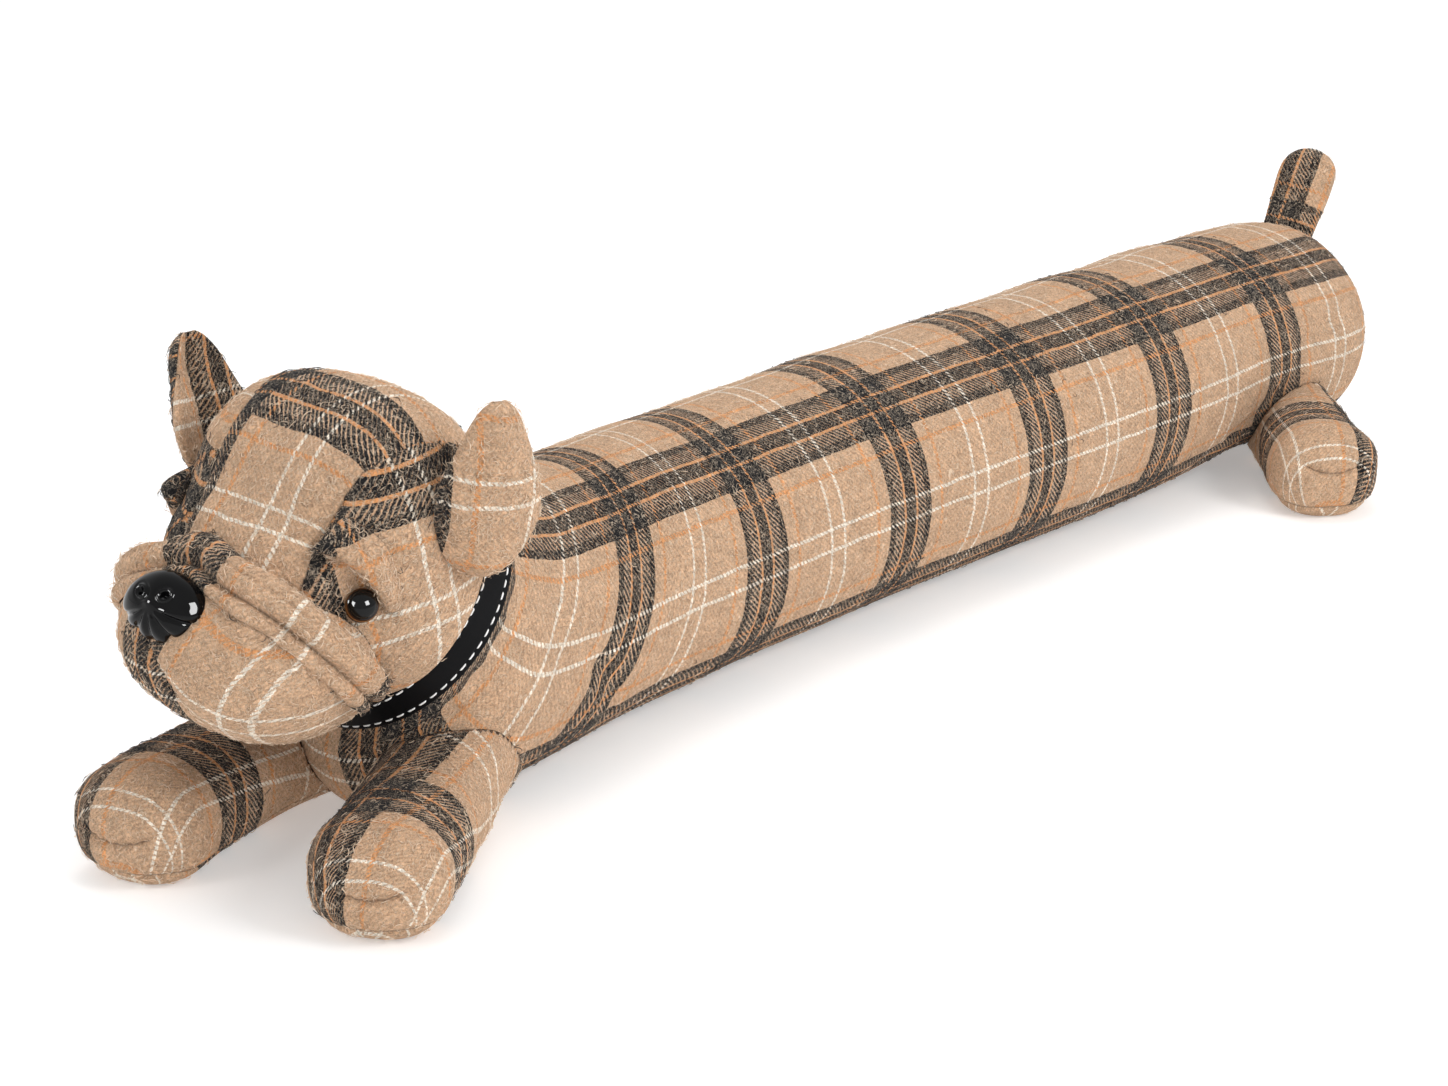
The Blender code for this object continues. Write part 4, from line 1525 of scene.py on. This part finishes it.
@dataclass
class Tail:
    """The flat padded tail, leaning back from the rear's upper edge."""

    root: Array = field(default_factory=lambda: np.array((0.858, 0.045, 0.118)))
    tip: Array = field(default_factory=lambda: np.array((0.894, 0.045, 0.180)))
    thickness: float = 0.020
    sections: tuple[LeafSection, ...] = (
        LeafSection(0.00, 0.0150, 0.90),
        LeafSection(0.20, 0.0165, 1.00),
        LeafSection(0.50, 0.0180, 1.00),
        LeafSection(0.75, 0.0185, 1.00),
        LeafSection(0.88, 0.0165, 0.95),
        LeafSection(0.96, 0.0115, 0.75),
        LeafSection(1.00, 0.0050, 0.40),
    )

    def dress(self, finishes: Finishes, *rooms: bpy.types.Object) -> None:
        """Makes the tail's cloth."""
        leaf = Leaf(self.root, self.tip, LEFT - AHEAD * 0.5, AHEAD.copy(), self.sections,
                    self.thickness)
        rings, length, side, pad = leaf.rings()
        rings = rings + ring_normals(rings) * Lumps(17, 0.0005, 0.030).at(rings)[..., None]
        past = -(pad + 0.05) * 0.010
        cloth = np.stack([length - 0.0150, side + 0.0120, past], axis=-1)
        panel = np.stack([length + 0.0400, side + 0.0200, past], axis=-1)
        sew("tail", rings, cloth, panel, 0.75, finishes.tweed, *rooms)


# Legs


class LegSection(NamedTuple):
    """A stuffed leg's section: share of its length, middle height, half width, half height."""

    share: float
    height: float
    half_width: float
    half_height: float


FRONT_SECTIONS = (
    LegSection(0.00, 0.0400, 0.0285, 0.0370),
    LegSection(0.35, 0.0330, 0.0290, 0.0330),
    LegSection(0.60, 0.0280, 0.0292, 0.0295),
    LegSection(0.80, 0.0262, 0.0315, 0.0285),
    LegSection(1.00, 0.0265, 0.0335, 0.0290),
)
HIND_SECTIONS = (
    LegSection(0.00, 0.0300, 0.0290, 0.0300),
    LegSection(0.35, 0.0280, 0.0295, 0.0295),
    LegSection(0.60, 0.0270, 0.0300, 0.0290),
    LegSection(0.80, 0.0265, 0.0320, 0.0290),
    LegSection(1.00, 0.0270, 0.0340, 0.0295),
)


@dataclass
class Leg:
    """A stuffed leg lying on the floor, of an upper and a lower panel sewn round the paw."""

    name: str
    sections: tuple[LegSection, ...]
    inside: tuple[float, float]
    bend: tuple[float, float]
    paw: tuple[float, float]
    band_along: float
    band_across: float
    slant: float
    around: int = 144
    steps: int = 14
    paw_steps: int = 60
    roundness: float = 2.3
    paw_tip: float = 0.026
    paw_power: float = 0.8
    toe_seam: float = 0.0285
    toe_sag: float = 0.0040
    toe_back: float = 0.004
    toe_half: float = 0.0165
    sole_seam: float = 0.0085

    def line(self, share: Array) -> tuple[Array, Array]:
        """The leg's middle line on the floor, and its heading, at shares of its length."""
        inside, bend, paw = (np.array((*place, 0.0)) for place in (self.inside, self.bend, self.paw))
        share = share[:, None]
        points = inside * (1.0 - share) ** 2 + bend * 2.0 * share * (1.0 - share) + paw * share**2
        return points, unit((bend - inside) * (1.0 - share) + (paw - bend) * share)

    def dress(self, finishes: Finishes, *rooms: bpy.types.Object) -> None:
        """Makes the leg's cloth."""
        rows = smooth_rows(self.sections, self.steps)
        points, heading = self.line(rows[:, 0])
        middles = points + UP * rows[:, 1:2]
        turn = np.radians(90.0) * np.arange(1, self.paw_steps) / self.paw_steps
        paw = self.sections[-1]
        tip_rows = middles[-1] + heading[-1] * (self.paw_tip * np.sin(turn))[:, None]
        size = np.cos(turn) ** self.paw_power
        middles = np.concatenate([middles, tip_rows])
        heading = np.concatenate([heading, np.repeat(heading[-1:], len(turn), axis=0)])
        half_width = np.concatenate([rows[:, 2], paw.half_width * size])[:, None]
        half_height = np.concatenate([rows[:, 3], paw.half_height * size])[:, None]

        power = 2.0 / self.roundness
        angle = turns(self.around)[None]
        wide = np.sign(np.sin(angle)) * np.abs(np.sin(angle)) ** power
        tall = np.sign(np.cos(angle)) * np.abs(np.cos(angle)) ** power
        side = np.stack([-heading[:, 1], heading[:, 0], np.zeros(len(heading))], axis=1)
        across = half_width * wide
        rings = (middles[:, None] + side[:, None] * across[..., None]
                 + UP * (half_height * tall)[..., None])
        rings[..., 2] = np.maximum(rings[..., 2], 0.0)

        steps = np.linalg.norm(np.diff(middles, axis=0), axis=1)
        along = np.concatenate([[0.0], np.cumsum(steps)])
        length = along[:, None] * np.ones_like(angle)
        height = rings[..., 2]
        front = length - (float(along[len(rows) - 1]) - self.toe_back)
        above = height - self.toe_seam + self.toe_sag * (1.0 - (across / self.toe_half) ** 2)
        dart = np.hypot(np.hypot(above, np.maximum(np.abs(across) - self.toe_half, 0.0)),
                        np.maximum(-front, 0.0))
        sole = height - self.sole_seam
        near_sole = height < (self.sole_seam + self.toe_seam - self.toe_sag) / 2.0
        past = np.where(near_sole, -sole, np.sign(above) * dart)
        normals = ring_normals(rings)
        pucker = 0.75 + 0.25 * np.cos((length + across) * 2.0 * math.pi / 0.0065)
        lift = Lumps(41, 0.0007, 0.034).at(rings)
        lift = lift - 0.0022 * pucker * bell(dart, 0.0018) - 0.0012 * bell(dart, 0.0060)
        lift = lift - 0.0012 * bell(sole, 0.0016) * soft_step(front, -0.030, 0.0)
        rings = rings + normals * (lift * soft_step(height, 0.0003, 0.006))[..., None]
        rings[..., 2] = np.maximum(rings[..., 2], 0.0)

        ahead = np.sum(normals * heading[:, None], axis=-1)
        aside = np.sum(normals * side[:, None], axis=-1)
        toward = ahead**2 / (ahead**2 + aside**2 + 0.02)
        wrapped = np.where(angle > math.pi, angle - 2.0 * math.pi, angle)
        arc = half_width * ((1.0 - toward) * wrapped + toward * wide)
        down = np.maximum(paw.height + paw.half_height - height, 0.0)
        length = length + down * toward
        cloth = np.stack([length + self.band_along,
                          arc + self.band_across + self.slant * length, past], axis=-1)
        down = np.maximum(self.sole_seam - height, 0.0)
        under = np.stack([length * 0.7 + down + self.band_along + 0.040,
                          across + 0.6 * down * np.sign(across) + 0.062, past], axis=-1)
        panel = np.where(near_sole[..., None], under, cloth)
        sew(self.name, rings, cloth, panel, 0.8, finishes.tweed, *rooms)


# The collar


@dataclass
class Collar:
    """A black strap about the neck, with a line of white stitches near each edge."""

    thickness: float = 0.0022
    edge: float = 0.0008
    around: int = 260
    stitch_inset: float = 0.0036
    stitches: int = 66
    stitch_share: float = 0.66
    stitch_radius: float = 0.00043

    def profile(self, tube: Tube) -> list[tuple[float, float]]:
        """The strap's section: distance behind the neck's face, and radius."""
        inner = tube.neck_radius + GAP
        outer = inner + self.thickness
        front, back = GAP, tube.strap_width
        section = []
        for middle, start in ((front + self.edge, 180.0), (back - self.edge, 90.0)):
            for step in range(7):
                turn = math.radians(start - 15.0 * step)
                section.append((middle + self.edge * math.cos(turn),
                                outer - self.edge + self.edge * math.sin(turn)))
            if start == 180.0:
                for share in np.linspace(0.0, 1.0, 33)[1:-1]:
                    at = front + self.edge + share * (back - front - 2.0 * self.edge)
                    dip = sum(math.exp(-((at - line) / 0.0009) ** 2) for line in self.lines(tube))
                    crown = 0.00025 * math.sin(math.pi * float(share))
                    section.append((float(at), outer + crown - 0.00045 * dip))
        section += [(back, inner), (front, inner)]
        return section

    def lines(self, tube: Tube) -> tuple[float, float]:
        """Where the two stitch lines run, behind the neck's face."""
        return GAP + self.stitch_inset, tube.strap_width - self.stitch_inset

    def dress(self, tube: Tube, finishes: Finishes) -> None:
        """Makes the strap and its stitches."""
        section = self.profile(tube)
        rings = np.stack([tube.neck_ring(back, radius, self.around) for back, radius in section])
        rows, columns = rings.shape[:2]
        faces = [(row * columns + column, row * columns + (column + 1) % columns,
                  (row + 1) % rows * columns + (column + 1) % columns,
                  (row + 1) % rows * columns + column)
                 for row in range(rows) for column in range(columns)]
        item = Skin(rings.reshape(-1, 3), faces).make("collar_strap", finishes.satin)
        settle(item, "collar")
        stitches = self.stitch_skin(tube).make("collar_stitches", finishes.thread)
        settle(stitches, "")

    def stitch_skin(self, tube: Tube) -> Skin:
        """Every stitch: a short rounded bar that dips into the strap at both ends."""
        normal, top = tube.neck_axes()
        radius = tube.neck_radius + GAP + self.thickness - 0.0001
        pitch = 2.0 * math.pi / self.stitches
        lengths = np.linspace(-1.0, 1.0, 11)
        sides = turns(8)
        points, faces = [], []
        count = 0
        for line, offset in zip(self.lines(tube), (0.0, 0.4)):
            for index in range(self.stitches):
                angle = pitch * (index + offset) + lengths * pitch * self.stitch_share / 2.0
                out = (top * np.cos(angle)[:, None] - LEFT * np.sin(angle)[:, None])
                thick = self.stitch_radius * np.sqrt(1.0 - 0.96 * lengths**4)
                sink = 0.00035 * lengths**6
                middle = tube.neck_face - normal * line + out * (radius + 0.00015 - sink)[:, None]
                ring = (middle[:, None] + thick[:, None, None] * (
                    out[:, None] * np.cos(sides)[None, :, None] * 0.85
                    + normal * np.sin(sides)[None, :, None] * 1.1))
                bar, bar_faces = ringed(ring)
                points.append(bar)
                faces += [tuple(corner + count for corner in face) for face in bar_faces]
                count += len(bar)
        return Skin(np.concatenate(points), faces)


# Fuzz


class Roots(NamedTuple):
    places: Array
    out: Array
    dark: Array


@dataclass
class Fuzz:
    """Loose wool fibres: short spikes that stand off the cloth and curls that lie on it."""

    tweed: TweedFinish
    pale: bpy.types.Material
    dark: bpy.types.Material
    seed: int = 77
    shortest: float = 0.0006
    longest: float = 0.0021
    thickness: float = 0.00009
    clear_height: float = 0.0020
    curl_length: tuple[float, float] = (0.0030, 0.0062)
    curl_radius: float = 0.00021
    curl_steps: int = 5
    strap_clearance: tuple[float, float] = (0.004, 0.002)
    strap_reach: float = 0.080
    dark_cover: float = 0.95

    @classmethod
    def made(cls) -> "Fuzz":
        """Makes the fibres' two finishes."""
        tweed = TweedFinish()
        return cls(tweed, FibreFinish("Pale fibre", (0.80, 0.62, 0.46)).make(),
                   FibreFinish("Charcoal fibre", (0.050, 0.046, 0.044)).make())

    def roots(self, item: bpy.types.Object, count: int, tube: Tube,
              rng: np.random.Generator) -> Roots:
        """Picks places all over a sewn piece, but none under it or beside the strap.

        Args:
            item: The piece, with its cloth's measures.
            count: How many places to pick from.
            tube: The body, with its neck under the strap.
            rng: The seeded source of chance.

        Returns:
            The places that are kept.
        """
        mesh = item.data
        mesh.calc_loop_triangles()
        corners = np.empty(len(mesh.loop_triangles) * 3, dtype=np.int32)
        mesh.loop_triangles.foreach_get("vertices", corners)
        corners = corners.reshape(-1, 3)
        places, normals = (np.empty(len(mesh.vertices) * 3, dtype=np.float32) for _ in range(2))
        mesh.vertices.foreach_get("co", places)
        mesh.vertices.foreach_get("normal", normals)
        places, normals = places.reshape(-1, 3), normals.reshape(-1, 3)
        measures = []
        for label in ("cloth", "panel"):
            rows = np.empty(len(mesh.vertices) * 3, dtype=np.float32)
            mesh.attributes[label].data.foreach_get("vector", rows)
            measures.append(rows.reshape(-1, 3))

        first, second, third = (places[corners[:, corner]] for corner in range(3))
        areas = np.linalg.norm(np.cross(second - first, third - first), axis=1)
        chosen = rng.choice(len(corners), size=count, p=areas / areas.sum())
        share = rng.dirichlet((1.0, 1.0, 1.0), size=count)[..., None]
        starts = (places[corners[chosen]] * share).sum(axis=1)
        out = unit(normals[corners[chosen]].mean(axis=1))
        cloth, panel = (rows[corners[chosen, 0]] for rows in measures)
        behind = (tube.neck_face + CHEST - starts) @ tube.neck_axes()[0]
        ahead, past = self.strap_clearance
        aside = np.linalg.norm(starts - CHEST - tube.neck_face, axis=1) > self.strap_reach
        kept = (starts[:, 2] > self.clear_height) & (
            (behind < -ahead) | (behind > tube.strap_width + past) | aside)
        shade = self.tweed.dark_share(cloth, panel)
        dark = rng.uniform(size=count) < shade * self.dark_cover
        return Roots(starts[kept], out[kept], dark[kept])

    def spikes(self, roots: Roots, rng: np.random.Generator) -> tuple[Array, list]:
        """Short closed spikes that stand off the cloth."""
        count = len(roots.places)
        lean = unit(rng.normal(size=roots.places.shape))
        way = unit(roots.out * rng.uniform(0.6, 1.45, (count, 1)) + lean * 0.8)
        way = np.where((way * roots.out).sum(axis=1, keepdims=True) < 0.1,
                       unit(way + roots.out * 0.8), way)
        length = rng.uniform(self.shortest, self.longest, (count, 1))
        first = unit(np.cross(way, lean + 0.01))
        second = np.cross(way, first)
        points = np.stack([
            roots.places - roots.out * 0.0002
            + self.thickness * (first * math.cos(turn) + second * math.sin(turn))
            for turn in turns(3)] + [roots.places + way * length], axis=1)
        shape = [(0, 1, 3), (1, 2, 3), (2, 0, 3), (2, 1, 0)]
        return points, shape

    def curls(self, roots: Roots, rng: np.random.Generator) -> tuple[Array, list]:
        """Curly fibres that lie along the cloth, each a thin bent closed tube."""
        count, steps = len(roots.places), self.curl_steps
        first = unit(np.cross(roots.out, unit(rng.normal(size=roots.places.shape))))
        second = np.cross(roots.out, first)
        run = np.linspace(0.0, 1.0, steps)[None]
        bend = rng.uniform(1.0, 3.6, (count, 1)) * rng.choice((-1.0, 1.0), (count, 1))
        sway = rng.uniform(-0.9, 0.9, (count, 1))
        turn = bend * run + sway * np.sin(2.0 * math.pi * run)
        step = rng.uniform(*self.curl_length, (count, 1)) / (steps - 1)
        ahead = np.cumsum(np.cos(turn) * step, axis=1)
        beside = np.cumsum(np.sin(turn) * step, axis=1)
        rise = 0.00012 + rng.uniform(0.0, 0.0005, (count, 1)) * np.sin(math.pi * run)
        middle = (roots.places[:, None] + first[:, None] * ahead[..., None]
                  + second[:, None] * beside[..., None] + roots.out[:, None] * rise[..., None])
        side = unit(second[:, None] * np.cos(turn)[..., None]
                    - first[:, None] * np.sin(turn)[..., None])
        radius = self.curl_radius * rng.uniform(0.7, 1.2, (count, 1))
        radius = radius * (1.0 - 0.6 * abs(2.0 * run - 1.0) ** 3)
        points = np.stack([
            middle + radius[..., None] * (roots.out[:, None] * math.cos(angle)
                                          + side * math.sin(angle))
            for angle in turns(3)], axis=2).reshape(count, steps * 3, 3)
        shape = []
        for row in range(0, steps * 3 - 3, 3):
            for corner, after in ((0, 1), (1, 2), (2, 0)):
                shape.append((row + corner, row + after, row + 3 + after, row + 3 + corner))
        shape += [(2, 1, 0), (steps * 3 - 3, steps * 3 - 2, steps * 3 - 1)]
        return points, shape

    def grow(self, item: bpy.types.Object, spike_count: int, curl_count: int, tube: Tube) -> None:
        """Grows fibres on one sewn piece.

        Args:
            item: The piece, with its cloth's measures.
            spike_count: How many standing fibres.
            curl_count: How many lying ones.
            tube: The body, with its neck under the strap.
        """
        rng = np.random.default_rng(self.seed + spike_count)
        points, faces, dark = [], [], []
        start = 0
        for make, count in ((self.spikes, spike_count), (self.curls, curl_count)):
            roots = self.roots(item, count, tube, rng)
            fibres, shape = make(roots, rng)
            for index in range(len(fibres)):
                base = start + index * fibres.shape[1]
                faces += [tuple(base + corner for corner in face) for face in shape]
            start += fibres.shape[0] * fibres.shape[1]
            points.append(fibres.reshape(-1, 3))
            dark.append(np.repeat(roots.dark, len(shape)))
        skin = Skin(np.concatenate(points) - CHEST, faces)
        grown = skin.make(item.name.replace("_cloth", "_fuzz"), self.pale)
        grown.data.materials.append(self.dark)
        grown.data.polygons.foreach_set("material_index", np.concatenate(dark).astype(np.int32))
        settle(grown, "")


# Studio


@dataclass
class Studio:
    """A plain pale floor, soft light and the camera."""

    camera_place: tuple[float, float, float] = (-1.2288, -1.0530, 0.6195)
    look: tuple[float, float, float] = (0.692, 0.636, -0.340)
    right: tuple[float, float, float] = (0.677, -0.736, 0.0)
    sensor: float = 36.0
    focal_pixels: float = 3011.0
    frame_pixels: float = 1448.0
    floor_half: float = 6.0
    floor_drop: float = 0.0003
    room_glow: float = 0.80

    def floor(self) -> None:
        """Lays the floor."""
        half = self.floor_half
        mesh = bpy.data.meshes.new("floor")
        mesh.from_pydata([(-half, -half, 0.0), (half, -half, 0.0), (half, half, 0.0),
                          (-half, half, 0.0)], [], [(0, 1, 2, 3)])
        mesh.materials.append(FloorFinish().make())
        item = bpy.data.objects.new("floor", mesh)
        item.location.z = -self.floor_drop
        bpy.context.scene.collection.objects.link(item)

    def camera(self) -> None:
        """Sets the camera at the photograph's angle."""
        look = Vector(self.look).normalized()
        right = Vector(self.right).normalized()
        rise = right.cross(look)
        data = bpy.data.cameras.new("camera")
        data.sensor_width = self.sensor
        data.lens = self.focal_pixels / self.frame_pixels * self.sensor
        data.clip_start = 0.05
        item = bpy.data.objects.new("camera", data)
        item.matrix_world = Matrix.Translation(self.camera_place) @ Matrix(
            (right, rise, -look)).transposed().to_4x4()
        bpy.context.scene.collection.objects.link(item)
        bpy.context.scene.camera = item

    def lamp(self, name: str, place: tuple[float, float, float], size: float, power: float,
             card: bool = False) -> None:
        """Hangs one square soft light, or a card that only shows in gloss, aimed at the front."""
        data = bpy.data.lights.new(name, "AREA")
        data.size = size
        data.energy = power
        item = bpy.data.objects.new(name, data)
        item.location = place
        item.visible_diffuse = not card
        item.visible_glossy = card
        aim = Vector((-0.40, -0.10, 0.14) if card else (-0.05, 0.0, 0.07)) - Vector(place)
        item.rotation_euler = aim.to_track_quat("-Z", "Y").to_euler()
        bpy.context.scene.collection.objects.link(item)

    def light(self) -> None:
        """Lights the scene: a bright even room, a key above and two boxes in front."""
        world = bpy.data.worlds.new("studio")
        world.use_nodes = True
        sky = world.node_tree.nodes["Background"]
        sky.inputs["Color"].default_value = (1.0, 1.0, 1.0, 1.0)
        sky.inputs["Strength"].default_value = self.room_glow
        bpy.context.scene.world = world
        bpy.context.scene.view_settings.view_transform = "Standard"
        self.lamp("top", (0.10, 0.30, 1.90), 1.2, 10.0)
        self.lamp("left_box", (-1.9, 0.1, 1.25), 0.40, 3.5)
        self.lamp("right_box", (0.10, -1.75, 1.30), 0.70, 16.0)
        self.lamp("left_card", (-1.88, 0.24, 0.72), 0.72, 78.0, True)
        self.lamp("right_card", (-0.32, -1.51, 0.90), 0.72, 78.0, True)


FIBRES = {
    "body": (16000, 3600), "head": (7000, 2300), "muzzle": (4500, 1500), "lip": (2600, 750),
    "brow_left": (600, 200), "brow_right": (600, 120), "ear_left": (1600, 480),
    "ear_right": (1800, 420), "tail": (900, 120), "front_leg_left": (2600, 1000),
    "front_leg_right": (2600, 900), "hind_leg_left": (1500, 320), "hind_leg_right": (1500, 260),
}


def main() -> None:
    """Builds every sub-assembly in order."""
    logging.basicConfig(level=logging.INFO, format="%(name)s: %(message)s")
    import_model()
    finishes = Finishes.made()
    studio = Studio()
    studio.floor()
    studio.camera()
    studio.light()

    tube, head, muzzle, lip = Tube(), Head(), Muzzle(), Lip()
    body_room = tube.room()
    head_room = head.room(tube)
    muzzle_room = muzzle.room(tube)
    lip_room = lip.room(muzzle.form)
    tube.dress(finishes)
    head.dress(tube, finishes)
    muzzle.dress(tube, finishes, head_room)
    lip.dress(muzzle, finishes, head_room, muzzle_room)
    Nose().dress(muzzle, finishes, muzzle_room, head_room, lip_room)
    for hand, height in ((Hand.LEFT, 0.0085), (Hand.RIGHT, 0.0120)):
        eye = Eye(hand)
        eye_room = eye.room(head)
        eye.dress(head, finishes, head_room)
        Brow(hand, height).dress(head, finishes, head_room, eye_room)
        discard(eye_room)
    Ear(Hand.LEFT, Place(0.016, 0.077, 0.148), Place(0.011, 0.088, 0.229), 1.06, 0.002,
        (0.020, 0.038), (0.020, -0.021)).dress(finishes, head_room)
    Ear(Hand.RIGHT, Place(0.032, 0.072, 0.156), Place(0.033, 0.103, 0.2285), 1.38, 0.0065,
        (0.060, 0.030), (0.020, 0.015)).dress(finishes, head_room)
    Collar().dress(tube, finishes)
    legs = (
        Leg("front_leg_left", FRONT_SECTIONS, (0.072, -0.006), (0.017, -0.038), (-0.051, -0.079),
            -0.122, -0.0074, 0.18),
        Leg("front_leg_right", FRONT_SECTIONS, (0.085, 0.035), (0.030, 0.083), (-0.088, 0.043),
            -0.150, 0.010, 0.10),
        Leg("hind_leg_left", HIND_SECTIONS, (0.800, 0.000), (0.765, -0.036), (0.720, -0.082),
            -0.085, -0.034, 0.0, toe_seam=0.036),
        Leg("hind_leg_right", HIND_SECTIONS, (0.800, 0.090), (0.765, 0.126), (0.720, 0.172),
            -0.085, 0.034, 0.0, toe_seam=0.036),
    )
    for leg in legs:
        leg.dress(finishes, body_room)
    Tail().dress(finishes, body_room)
    discard(body_room, head_room, muzzle_room, lip_room)
    fuzz = Fuzz.made()
    for name, counts in FIBRES.items():
        fuzz.grow(bpy.data.objects[name + "_cloth"], *counts, tube)


if __name__ == "__main__":
    main()
